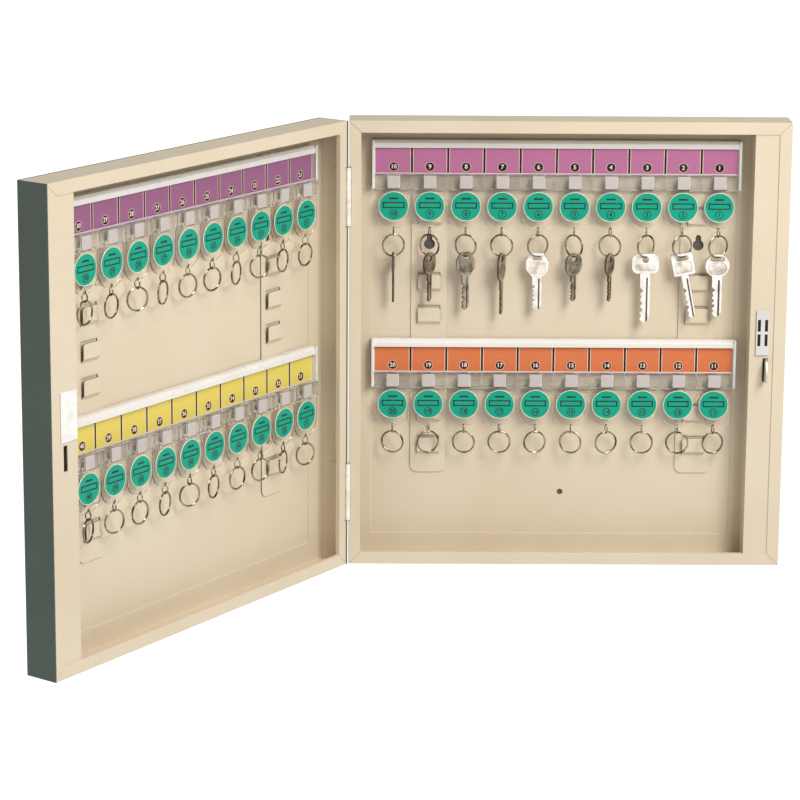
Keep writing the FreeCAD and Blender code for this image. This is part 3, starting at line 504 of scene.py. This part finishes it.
def printed_ring(x, y, z, outer, inner, sides=32):
    """A flat printed ring, or a disc where inner is 0, facing out of the tray."""
    angles = [2 * math.pi * n / sides for n in range(sides)]
    points = [(x + outer * math.cos(a), y, z + outer * math.sin(a)) for a in angles]
    if not inner:
        return points, [list(range(sides))]
    points += [(x + inner * math.cos(a), y, z + inner * math.sin(a)) for a in angles]
    return points, [[n, (n + 1) % sides, sides + (n + 1) % sides, sides + n]
                    for n in range(sides)]


printed_digits = {}


def digits(text, x, y, z, size):
    """Digits as a flat print, facing out of the tray."""
    if text not in printed_digits:
        curve = bpy.data.curves.new("digits", "FONT")
        curve.body = text
        curve.align_x = "CENTER"
        curve.align_y = "CENTER"
        curve.resolution_u = DIGIT_CURVE_STEPS
        curve.offset = DIGIT_BOLDNESS
        holder = bpy.data.objects.new("digits", curve)
        mesh = bpy.data.meshes.new_from_object(holder)
        printed_digits[text] = ([tuple(v.co) for v in mesh.vertices],
                                [list(p.vertices) for p in mesh.polygons])
        bpy.data.meshes.remove(mesh)
        bpy.data.objects.remove(holder)
        bpy.data.curves.remove(curve)
    points, faces = printed_digits[text]
    return [(x + px * size, y, z + py * size) for px, py, _ in points], faces


def build_printed_paper():
    """Ink on paper: a little of the paper shows through, and the gloss is uneven."""
    tree, entry, out = shader_group(
        "printed_paper",
        [("Ink", "Color", (0.5, 0.5, 0.5, 1)), ("Gloss", "Float", 0.4)],
        [("Color", "Color"), ("Roughness", "Float"), ("Height", "Float")])
    place = own_place(tree)
    fibres = noise(tree, place, scale=700.0, detail=3.0)
    mottle = spread(tree, fibres, low=0.3, high=0.75, new_high=0.05)
    paler = blend_of(tree, mottle, entry.outputs["Ink"], PAPER)
    tree.links.new(paler, out.inputs["Color"])
    tree.links.new(noise(tree, place, scale=1800.0, detail=3.0), out.inputs["Height"])
    gloss = noise(tree, place, scale=60.0, detail=2.0)
    sheen = spread(tree, gloss, low=0.3, high=0.7, new_low=-0.05, new_high=0.05)
    tree.links.new(sum_of(tree, entry.outputs["Gloss"], sheen), out.inputs["Roughness"])
    return tree


printed_paper = build_printed_paper()


def ink(name, colour, gloss=0.45, specular=0.3):
    """A printed colour."""
    return grouped_material(name, printed_paper, {"Ink": colour, "Gloss": gloss}, bump=0.08,
                            depth=0.02 * MM, specular=specular)


black_ink = ink("black_ink", (0.004, 0.004, 0.004), specular=0.08)
pale_ink = ink("pale_ink", (0.82, 0.60, 0.46))


def number_at(strip, place):
    """The number of a cell, counted from the left; the numbers run from right to left."""
    return CELLS * strip - place


def card_slab(low, high):
    """The card itself: its front is divided into colour, pale edges and black bars."""
    cell = (high.x - low.x) / CELLS
    stops = [(low.x, COLOURED)]
    for number in range(1, CELLS):
        middle = low.x + number * cell
        stops += [(middle - BAR / 2 - BAR_EDGE, PALE), (middle - BAR / 2, BLACK),
                  (middle + BAR / 2, PALE), (middle + BAR / 2 + BAR_EDGE, COLOURED)]
    stops.append((high.x, COLOURED))
    points, faces, numbers = [], [], []
    for x, _ in stops:
        points += [(x, low.y, low.z), (x, low.y, high.z), (x, high.y, high.z), (x, high.y, low.z)]
    for n in range(len(stops) - 1):
        a, b = 4 * n, 4 * n + 4
        faces += [[a, b, b + 1, a + 1], [a + 1, b + 1, b + 2, a + 2], [a + 2, b + 2, b + 3, a + 3],
                  [a + 3, b + 3, b, a]]
        numbers += [stops[n][1], PALE, PALE, PALE]
    last = 4 * (len(stops) - 1)
    faces += [[0, 1, 2, 3], [last + 3, last + 2, last + 1, last]]
    return points, faces, numbers + [PALE, PALE]


for strip in STRIPS:
    carry = carry_of(strip)
    low, high = flat_box(f"strip_{strip}_card", carry)
    cell = (high.x - low.x) / CELLS
    parts = [card_slab(low, high)]
    for place in range(CELLS):
        x = low.x + (place + 0.5) * cell
        z = low.z + CARD_DISC_UP
        parts.append((*printed_ring(x, low.y - INK_STEP, z, CARD_RING_R, CARD_DISC_R), PALE))
        parts.append((*printed_ring(x, low.y - INK_STEP, z, CARD_DISC_R, 0), BLACK))
        parts.append((*digits(str(number_at(strip, place)), x, low.y - 2 * INK_STEP, z,
                              CARD_DIGITS), PALE))
    field = ink(CARD_SLOTS[strip] + "_ink", CARD_COLOURS[strip])
    card = made(f"number_card_{strip}", parts, [field, black_ink, pale_ink], carry,
                f"strip_{strip}")
    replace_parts(card, f"strip_{strip}_card")

# ---------------------------------------------------------------- clear tags
# Forty injection-moulded tags in clear plastic. Each has a thick head with a pocket that
# drops over a rail's hook, and a thin plate with a round end and a hole for its link.
TAG_ROUNDING = 0.6 * MM


def solids_of(node, carry):
    """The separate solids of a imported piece, laid flat, from left to right."""
    work = bmesh.new()
    work.from_mesh(frame["nodes"][node].data)
    work.transform(carry.inverted())
    bmesh.ops.remove_doubles(work, verts=work.verts, dist=WELD)
    bmesh.ops.dissolve_limit(work, angle_limit=FLAT_WITHIN, verts=work.verts, edges=work.edges)
    work.verts.index_update()
    owner, solids = {}, []
    for seed in work.verts:
        if seed.index in owner:
            continue
        queue, members = [seed], []
        owner[seed.index] = len(solids)
        while queue:
            vert = queue.pop()
            members.append(vert)
            for edge in vert.link_edges:
                other = edge.other_vert(vert)
                if other.index not in owner:
                    owner[other.index] = len(solids)
                    queue.append(other)
        order = {vert.index: n for n, vert in enumerate(members)}
        faces = {face for vert in members for face in vert.link_faces}
        solids.append(([tuple(v.co) for v in members],
                       sorted([order[v.index] for v in face.verts] for face in faces)))
    work.free()
    return sorted(solids, key=lambda solid: (round(np.mean([p[0] for p in solid[0]]), 4),
                                             np.mean([p[2] for p in solid[0]])))


def extent(solid):
    """Size of a solid along X, Y and Z."""
    places = np.array(solid[0])
    return places.max(0) - places.min(0)


def build_clear_plastic():
    """Clear plastic that lets lamp light through to what is behind it."""
    material = bpy.data.materials.new("clear_tag_plastic")
    material.use_nodes = True
    tree = material.node_tree
    shader = tree.nodes["Principled BSDF"]
    shader.inputs["Base Color"].default_value = (0.90, 0.895, 0.875, 1)
    shader.inputs["Transmission Weight"].default_value = 1.0
    shader.inputs["IOR"].default_value = 1.45
    clouds = noise(tree, own_place(tree), scale=220.0, detail=3.0)
    haze = spread(tree, clouds, low=0.45, high=0.75, new_low=0.03, new_high=0.13)
    tree.links.new(haze, shader.inputs["Roughness"])
    relief = tree.nodes.new("ShaderNodeBump")
    relief.inputs["Strength"].default_value = 0.15
    relief.inputs["Distance"].default_value = 0.05 * MM
    waves = noise(tree, own_place(tree), scale=160.0, detail=2.0)
    tree.links.new(waves, relief.inputs["Height"])
    tree.links.new(relief.outputs["Normal"], shader.inputs["Normal"])
    through = tree.nodes.new("ShaderNodeBsdfTransparent")
    through.inputs["Color"].default_value = (0.93, 0.93, 0.91, 1)
    path = tree.nodes.new("ShaderNodeLightPath")
    choice = tree.nodes.new("ShaderNodeMixShader")
    tree.links.new(path.outputs["Is Shadow Ray"], choice.inputs["Fac"])
    tree.links.new(shader.outputs["BSDF"], choice.inputs[1])
    tree.links.new(through.outputs["BSDF"], choice.inputs[2])
    tree.links.new(choice.outputs["Shader"], tree.nodes["Material Output"].inputs["Surface"])
    return material


def smooth(piece):
    """A made piece, shaded smoothly."""
    for face in piece.data.polygons:
        face.use_smooth = True
    return piece


def rounded(piece, rounding):
    """A made piece with rounded edges, shaded smoothly."""
    round_edges(smooth(piece), rounding)
    return piece


clear_plastic = build_clear_plastic()
# The tags' rounded edges take a whiter, less clear finish streaked with dark: a painted glint and painted shade.
clear_painted_glint = grouped_material("clear_tag_painted_glint", moulded_plastic,
                              {"Plastic": (1.0, 0.98, 0.94), "Deep": (0.10, 0.08, 0.05),
                               "Gloss": 0.2}, bump=0.05, depth=0.03 * MM, coat=0.5)
tag_solids = {}
for strip in STRIPS:
    carry = carry_of(strip)
    if strip > 1:
        tag_solids[strip] = solids_of(f"strip_{strip}_tags", carry)
        plates = [(*solid, 0) for solid in tag_solids[strip]]
        tags = made(f"clear_tags_{strip}", plates, [clear_plastic, clear_painted_glint], carry,
                    f"strip_{strip}")
        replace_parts(rounded(tags, TAG_ROUNDING), f"strip_{strip}_tags")
        continue
    tag_solids[strip] = []
    for place in range(CELLS):
        number = number_at(strip, place)
        plate = max(solids_of(f"tag_{number:02d}", carry), key=lambda solid: extent(solid)[2])
        tag_solids[strip].append(plate)
        tag = made(f"clear_tag_{number:02d}", [(*plate, 0)], [clear_plastic, clear_painted_glint], carry,
                   f"numbered_tag_{number:02d}")
        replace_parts(rounded(tag, TAG_ROUNDING), f"tag_{number:02d}")

# ---------------------------------------------------------------- number discs
# A green printed disc is pressed on the front of each tag, with a moulded rim painted pale
# as a highlight. It carries a short rule, a framed field to write in, and the key's number in
# a small circle.
DISC_GREEN = (0.0, 0.32, 0.205)
DISC_INK = (0.012, 0.018, 0.012)
DISC_FACE, DISC_PAINTED_HIGHLIGHT, DISC_PRINT = 0, 1, 2
RIM = 0.3 * MM
RIM_ROUNDING = 0.18 * MM
RIM_CORNER = 0.3 * RIM_ROUNDING
FACE_SINK = 0.5 * RIM_ROUNDING
RULE_HALF = 3.9 * MM
RULE_HIGH = 1.5 * MM
RULE_UP = 6.6 * MM
FIELD_HALF = 8.6 * MM
FIELD_HALF_HIGH = 2.1 * MM
FIELD_UP = 0.9 * MM
FIELD_LINE = 1.05 * MM
NUMBER_DROP = 6.4 * MM
NUMBER_CIRCLE = (3.5 * MM, 2.9 * MM)
NUMBER_SIZE = 4.8 * MM


def disc_body(x, back, z, radius, thick, sides=64):
    """A turned disc with a rounded, raised rim; the rim and the face have their own finish."""
    front = back - thick
    profile = [(radius - RIM_ROUNDING, back), (radius, back - RIM_ROUNDING),
               (radius, front + RIM_ROUNDING), (radius - RIM_CORNER, front + RIM_CORNER),
               (radius - RIM_ROUNDING, front), (radius - RIM, front),
               (radius - RIM - RIM_ROUNDING, front + FACE_SINK)]
    points, faces, numbers = [], [], []
    for r, y in profile:
        points += [(x + r * math.cos(2 * math.pi * n / sides), y,
                    z + r * math.sin(2 * math.pi * n / sides)) for n in range(sides)]
    for ring in range(len(profile) - 1):
        for n in range(sides):
            a, b = ring * sides + n, ring * sides + (n + 1) % sides
            faces.append([b, a, a + sides, b + sides])
            numbers.append(DISC_PAINTED_HIGHLIGHT)
    last = (len(profile) - 1) * sides
    faces += [list(range(sides))[::-1], [last + n for n in range(sides)]]
    return points, faces, numbers + [DISC_PAINTED_HIGHLIGHT, DISC_FACE]


def bar(x, y, z, half_width, height):
    """A printed bar, centred on x and z."""
    corners = [(x - half_width, y, z - height / 2), (x + half_width, y, z - height / 2),
               (x + half_width, y, z + height / 2), (x - half_width, y, z + height / 2)]
    return corners, [[0, 1, 2, 3]]


def disc_print(x, face, z, number):
    """Everything printed on one disc."""
    y = face - INK_STEP
    field_z = z + FIELD_UP
    side_high = 2 * FIELD_HALF_HIGH + FIELD_LINE
    prints = [bar(x, y, z + RULE_UP, RULE_HALF, RULE_HIGH),
              bar(x, y, field_z + FIELD_HALF_HIGH, FIELD_HALF, FIELD_LINE),
              bar(x, y, field_z - FIELD_HALF_HIGH, FIELD_HALF, FIELD_LINE),
              bar(x - FIELD_HALF, y, field_z, FIELD_LINE / 2, side_high),
              bar(x + FIELD_HALF, y, field_z, FIELD_LINE / 2, side_high),
              printed_ring(x, y, z - NUMBER_DROP, *NUMBER_CIRCLE),
              digits(str(number), x, y, z - NUMBER_DROP, NUMBER_SIZE)]
    return [(*shape, DISC_PRINT) for shape in prints]


disc_green = grouped_material("disc_green", moulded_plastic,
                              {"Plastic": DISC_GREEN, "Deep": (0.0, 0.27, 0.175), "Gloss": 0.35},
                              bump=0.06, depth=0.03 * MM, coat=0.05, specular=0.25)
# The rim is painted pale cream with a clear coat: a painted highlight.
disc_rim_painted_highlight = grouped_material("disc_rim_painted_highlight", moulded_plastic,
                            {"Plastic": (0.86, 0.72, 0.56), "Deep": (0.80, 0.66, 0.50),
                             "Gloss": 0.22}, bump=0.05, depth=0.03 * MM, coat=0.5)
disc_ink = ink("disc_ink", DISC_INK, 0.4, 0.1)


def disc_parts(low, high, x, number):
    """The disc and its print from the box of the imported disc, centred on x."""
    z = (low.z + high.z) / 2
    radius = (high.z - low.z) / 2
    face = low.y + FACE_SINK
    return [disc_body(x, high.y, z, radius, high.y - low.y), *disc_print(x, face, z, number)]


disc_finish = [disc_green, disc_rim_painted_highlight, disc_ink]
for strip in STRIPS:
    carry = carry_of(strip)
    if strip == 1:
        for place in range(CELLS):
            number = number_at(strip, place)
            label = min(solids_of(f"tag_{number:02d}", carry), key=lambda solid: extent(solid)[2])
            corners = np.array(label[0])
            low, high = Vector(corners.min(0)), Vector(corners.max(0))
            disc = made(f"number_disc_{number:02d}",
                        disc_parts(low, high, (low.x + high.x) / 2, number), disc_finish, carry,
                        f"numbered_tag_{number:02d}")
            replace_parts(disc, f"tag_{number:02d}")
        continue
    low, high = flat_box(f"strip_{strip}_discs", carry)
    radius = (high.z - low.z) / 2
    pitch = (high.x - low.x - 2 * radius) / (CELLS - 1)
    parts = []
    for place in range(CELLS):
        parts += disc_parts(low, high, low.x + radius + place * pitch, number_at(strip, place))
    discs = made(f"number_discs_{strip}", parts, disc_finish, carry, f"strip_{strip}")
    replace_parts(discs, f"strip_{strip}_discs")

# ---------------------------------------------------------------- links and split rings
# A small pointed loop of nickelled wire goes through each tag's hole, and a split ring of
# flat spring wire, wound twice, hangs in it. Forty of each, bright with soft tarnish.
WIRE_SIDES = 8
RING_WIRE = (0.72 * MM, 0.37 * MM)
RING_PLAY = 0.1 * MM
LINK_WIRE = 0.55 * MM
LINK_SHARE = 0.62
LINK_POINT = 1.2
RING_TURNS = 1.97
RING_STEPS = 60
CROSSING = (0.9, 1.12)
FIRST_RING_TURN = 0.7
RING_TURN_STEP = 1.3
LINK_TWIST = 0.35
LINK_TWIST_STEP = 1.9


def swept(path, frames, radii, sides=WIRE_SIDES):
    """A wire along a path; frames gives two crosswise directions at each of its points."""
    points = []
    for place, (across, along) in zip(path, frames):
        points += [tuple(place + across * radii[0] * math.cos(2 * math.pi * n / sides)
                         + along * radii[1] * math.sin(2 * math.pi * n / sides))
                   for n in range(sides)]
    return points


def tube_faces(count, closed, sides=WIRE_SIDES):
    """Faces of a swept wire with count points, joined end to end or with capped ends."""
    faces = []
    for step in range(count if closed else count - 1):
        a, b = step * sides, (step + 1) % count * sides
        faces += [[a + n, a + (n + 1) % sides, b + (n + 1) % sides, b + n] for n in range(sides)]
    if not closed:
        last = (count - 1) * sides
        faces += [list(range(sides))[::-1], [last + n for n in range(sides)]]
    return faces


def split_ring(solid, start):
    """Two turns of flat wire side by side, in the place and plane of a packed ring."""
    places = np.array(solid[0])
    middle = (places.max(0) + places.min(0)) / 2
    axis = np.linalg.svd(places - middle, full_matrices=False)[2][2]
    axis = Vector(axis * (1 if axis[1] > 0 else -1))
    up = Vector((0, 0, 1))
    side = up.cross(axis).normalized()
    radius = (places[:, 2].max() - places[:, 2].min()) / 2 - RING_WIRE[0] - RING_PLAY
    path, frames = [], []
    steps = int(RING_TURNS * RING_STEPS)
    for n in range(steps + 1):
        turn = RING_TURNS * n / steps
        angle = start + 2 * math.pi * turn
        # The wire steps from the first turn to the second with a soft start and end.
        share = min(max((turn - CROSSING[0]) / (CROSSING[1] - CROSSING[0]), 0), 1)
        shift = (share * share * (3 - 2 * share) - 0.5) * 2 * RING_WIRE[1]
        out = side * math.cos(angle) + up * math.sin(angle)
        path.append(Vector(middle) + out * radius + axis * shift)
        frames.append((out, axis))
    return swept(path, frames, RING_WIRE), tube_faces(len(path), False)


def wire_link(solid, twist, steps=36):
    """A pointed loop in the place of a packed link, turned a little about the upright."""
    places = np.array(solid[0])
    middle = Vector((places.max(0) + places.min(0)) / 2)
    high = (places[:, 2].max() - places[:, 2].min()) / 2 - LINK_WIRE
    forward = Vector((math.sin(twist), -math.cos(twist), 0))
    flank = Vector((math.cos(twist), math.sin(twist), 0))
    line = []
    for n in range(steps):
        angle = 2 * math.pi * n / steps
        swing = math.copysign(abs(math.sin(angle)) ** LINK_POINT, math.sin(angle))
        line.append(middle + forward * swing * high * LINK_SHARE
                    + Vector((0, 0, math.cos(angle) * high)))
    frames = []
    for n in range(steps):
        tangent = (line[(n + 1) % steps] - line[n - 1]).normalized()
        frames.append((tangent.cross(flank), flank))
    return swept(line, frames, (LINK_WIRE, LINK_WIRE)), tube_faces(steps, True)


ring_nickel = grouped_material("ring_nickel", worked_metal,
                               {"Metal": (0.47, 0.39, 0.28), "Tarnish": (0.07, 0.052, 0.03),
                                "Age": 1.0, "Gloss": 0.12}, bump=0.06, depth=0.02 * MM,
                               metallic=1.0)


def ring_and_link(solids, number):
    """Both wire pieces of one tag, from its packed link and ring."""
    link, ring = sorted(solids, key=lambda solid: extent(solid)[2])
    wound = split_ring(ring, FIRST_RING_TURN + RING_TURN_STEP * number)
    loop = wire_link(link, LINK_TWIST * math.sin(LINK_TWIST_STEP * number))
    return [(*wound, 0), (*loop, 0)]


for strip in STRIPS[1:]:
    carry = carry_of(strip)
    solids = solids_of(f"strip_{strip}_rings", carry)
    parts = []
    for place in range(CELLS):
        parts += ring_and_link(solids[2 * place:2 * place + 2], number_at(strip, place))
    rings = made(f"split_rings_{strip}", parts, [ring_nickel], carry, f"strip_{strip}")
    smooth(rings)
    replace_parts(rings, f"strip_{strip}_rings")

# ---------------------------------------------------------------- keys
# Ten flat keys stamped from nickel silver, each hung on its own split ring in strip 1. Some
# are new and bright, the others are handled and dull; all have milled grooves and cuts.
BRIGHT_KEYS = (1, 2, 3, 6)
KEY_ROUNDING = 0.3 * MM
PANEL_DEEP = 0.12 * MM
GROOVE_DEEP = 0.38 * MM

bright_key = grouped_material("bright_key", worked_metal,
                              {"Metal": (0.98, 0.95, 0.90), "Tarnish": (0.60, 0.47, 0.33),
                               "Age": 0.55, "Gloss": 0.3}, bump=0.2, depth=0.04 * MM,
                              metallic=0.3)
bright_panel = grouped_material("bright_key_panel", worked_metal,
                                {"Metal": (0.90, 0.84, 0.75), "Tarnish": (0.38, 0.27, 0.17),
                                 "Age": 0.8, "Gloss": 0.35}, bump=0.4, depth=0.06 * MM,
                                metallic=0.3)
dull_key = grouped_material("dull_key", worked_metal,
                            {"Metal": (0.50, 0.43, 0.32), "Tarnish": (0.10, 0.08, 0.05),
                             "Age": 0.85, "Gloss": 0.3}, bump=0.25, depth=0.04 * MM, metallic=0.8)
dull_panel = grouped_material("dull_key_panel", worked_metal,
                              {"Metal": (0.30, 0.25, 0.18), "Tarnish": (0.08, 0.065, 0.045),
                               "Age": 0.9, "Gloss": 0.4}, bump=0.4, depth=0.06 * MM,
                              metallic=0.6)
# The grooves and the key's rim are painted dark: painted shade in the cuts and along the edge.
key_recess_painted_shade = grouped_material("key_recess_painted_shade", worked_metal,
                              {"Metal": (0.13, 0.105, 0.075), "Tarnish": (0.05, 0.04, 0.03),
                               "Age": 0.8, "Gloss": 0.4}, bump=0.2, depth=0.04 * MM, metallic=0.6)


def face_finishes(solid):
    """0 for a key's flat sides, 1 for its stamped panels, 2 for its grooves and its rim."""
    places = np.array(solid[0])
    axis = np.linalg.svd(places - places.mean(0), full_matrices=False)[2][2]
    heights = places @ axis
    low, high = heights.min(), heights.max()
    finishes = []
    for face in solid[1]:
        middle = heights[face].mean()
        depth = min(middle - low, high - middle)
        finishes.append(int(depth > PANEL_DEEP) + int(depth > GROOVE_DEEP))
    return finishes


for place in range(CELLS):
    number = number_at(1, place)
    body = f"hung_key_{number:02d}"
    solids = sorted(solids_of(f"key_{number:02d}", carry_of(1)),
                    key=lambda solid: extent(solid)[2])
    rings = made(f"split_ring_{number:02d}", ring_and_link(solids[:2], number), [ring_nickel],
                 carry_of(1), body)
    smooth(rings)
    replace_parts(rings, f"key_{number:02d}")
    finish = (bright_key, bright_panel) if number in BRIGHT_KEYS else (dull_key, dull_panel)
    key = made(f"door_key_{number:02d}", [(*solids[2], face_finishes(solids[2]))],
               [*finish, key_recess_painted_shade], carry_of(1), body)
    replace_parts(rounded(key, KEY_ROUNDING), f"key_{number:02d}")

# ---------------------------------------------------------------- floor, light and camera
# A large pale floor well below the hung cabinet, an even pale sky, and two soft lamps from
# the upper right in front. The camera stands in front, a little above, looking down.
FLOOR_DROP = 0.7
FLOOR_SIZE = 60.0
FLOOR_GLOW = 0.62
GLOW_ON_CABINET = 0.2
SKY = 0.42
SKY_IN_VIEW = 1.0
LAMP_WAY = Vector((0.95, -1.5, 2.3))
NEAR_LAMP_AT = Vector((0.55, -1.0, 0.75))
NEAR_LAMP_SIZE = 0.5
NEAR_LAMP_POWER = 12.0
FAR_LAMP_STRENGTH = 1.0
FAR_LAMP_SPREAD = math.radians(18)
SHADE_R = 14 * MM
SHADE_GAP = 0.5 * MM
LENS = 132.6
SENSOR_WIDTH = 36
LENS_SHIFT_UP = -0.16
CAMERA_AT = (-0.160, -2.423, 0.575)
CAMERA_TURN = (77.92, -0.37, -0.40)


def linked(name, data):
    """An object of the scene from its data."""
    piece = bpy.data.objects.new(name, data)
    bpy.context.scene.collection.objects.link(piece)
    return piece


floor_mesh = bpy.data.meshes.new("studio_floor")
reach = FLOOR_SIZE / 2
level = cad_box[0][2] - FLOOR_DROP
floor_mesh.from_pydata([(-reach, -reach, level), (reach, -reach, level), (reach, reach, level),
                        (-reach, reach, level)], [], [(0, 1, 2, 3)])
floor_paint = grouped_material("studio_floor", powder_coat,
                               {"Paint": (0.84, 0.84, 0.84), "Shade": (0.83, 0.83, 0.83),
                                "Gloss": 0.8}, bump=0.0)
floor_shader = floor_paint.node_tree.nodes["Principled BSDF"]
floor_shader.inputs["Emission Color"].default_value = (1, 1, 1, 1)
floor_tree = floor_paint.node_tree
seen = floor_tree.nodes.new("ShaderNodeLightPath").outputs["Is Camera Ray"]
glow = spread(floor_tree, seen, low=0, high=1, new_low=GLOW_ON_CABINET, new_high=FLOOR_GLOW)
floor_tree.links.new(glow, floor_shader.inputs["Emission Strength"])
floor_mesh.materials.append(floor_paint)
linked("studio_floor", floor_mesh)

# The wall's shade, which shows dark through the screw holes, only from the front, and takes
# no light from the cabinet.
wall_shade = bpy.data.materials.new("wall_shade")
wall_shade.use_nodes = True
shade_tree = wall_shade.node_tree
shade_shader = shade_tree.nodes["Principled BSDF"]
shade_shader.inputs["Roughness"].default_value = 0.9
blotches = noise(shade_tree, own_place(shade_tree), scale=150.0)
grey = spread(shade_tree, blotches, low=0.3, high=0.7)
shade_tree.links.new(blend_of(shade_tree, grey, (0.07, 0.06, 0.05), (0.12, 0.11, 0.095)),
                     shade_shader.inputs["Base Color"])
behind = shade_tree.nodes.new("ShaderNodeNewGeometry").outputs["Backfacing"]
looked_at = shade_tree.nodes.new("ShaderNodeLightPath").outputs["Is Camera Ray"]
unseen = sum_of(shade_tree, behind, sum_of(shade_tree, 1, looked_at, "SUBTRACT"), "MAXIMUM")
open_side = shade_tree.nodes.new("ShaderNodeBsdfTransparent")
either = shade_tree.nodes.new("ShaderNodeMixShader")
shade_tree.links.new(unseen, either.inputs["Fac"])
shade_tree.links.new(shade_shader.outputs["BSDF"], either.inputs[1])
shade_tree.links.new(open_side.outputs["BSDF"], either.inputs[2])
shade_tree.links.new(either.outputs["Shader"],
                     shade_tree.nodes["Material Output"].inputs["Surface"])
for mount in frame["record"]["mounts"]:
    if mount["name"] == "wall_face":
        continue
    half_gap = mount["dims"].get("spacing_x_mm", 0) * MM / 2
    for x in {mount["pos_m"][0] - half_gap, mount["pos_m"][0] + half_gap}:
        points, faces = printed_ring(x, SHADE_GAP, mount["pos_m"][2], SHADE_R, 0)
        patch = bpy.data.meshes.new("wall_shade")
        patch.from_pydata(points, [], faces)
        patch.materials.append(wall_shade)
        linked("wall_shade", patch)

world = bpy.data.worlds.new("studio")
world.use_nodes = True
world.node_tree.nodes["Background"].inputs["Color"].default_value = (1, 1, 1, 1)
sky_seen = world.node_tree.nodes.new("ShaderNodeLightPath").outputs["Is Camera Ray"]
sky = spread(world.node_tree, sky_seen, low=0, high=1, new_low=SKY, new_high=SKY_IN_VIEW)
world.node_tree.links.new(sky, world.node_tree.nodes["Background"].inputs["Strength"])
bpy.context.scene.world = world

far_lamp = bpy.data.lights.new("far_lamp", "SUN")
far_lamp.energy = FAR_LAMP_STRENGTH
far_lamp.angle = FAR_LAMP_SPREAD
linked("far_lamp", far_lamp).rotation_euler = LAMP_WAY.to_track_quat("Z", "Y").to_euler()

near_lamp = bpy.data.lights.new("near_lamp", "AREA")
near_lamp.energy = NEAR_LAMP_POWER
near_lamp.size = NEAR_LAMP_SIZE
near_holder = linked("near_lamp", near_lamp)
near_holder.location = NEAR_LAMP_AT
near_holder.rotation_euler = NEAR_LAMP_AT.to_track_quat("Z", "Y").to_euler()

camera = bpy.data.cameras.new("camera")
camera.lens = LENS
camera.sensor_width = SENSOR_WIDTH
camera.shift_y = LENS_SHIFT_UP
camera_holder = linked("camera", camera)
camera_holder.location = CAMERA_AT
camera_holder.rotation_euler = [math.radians(angle) for angle in CAMERA_TURN]
bpy.context.scene.camera = camera_holder
bpy.context.scene.view_settings.view_transform = "Standard"
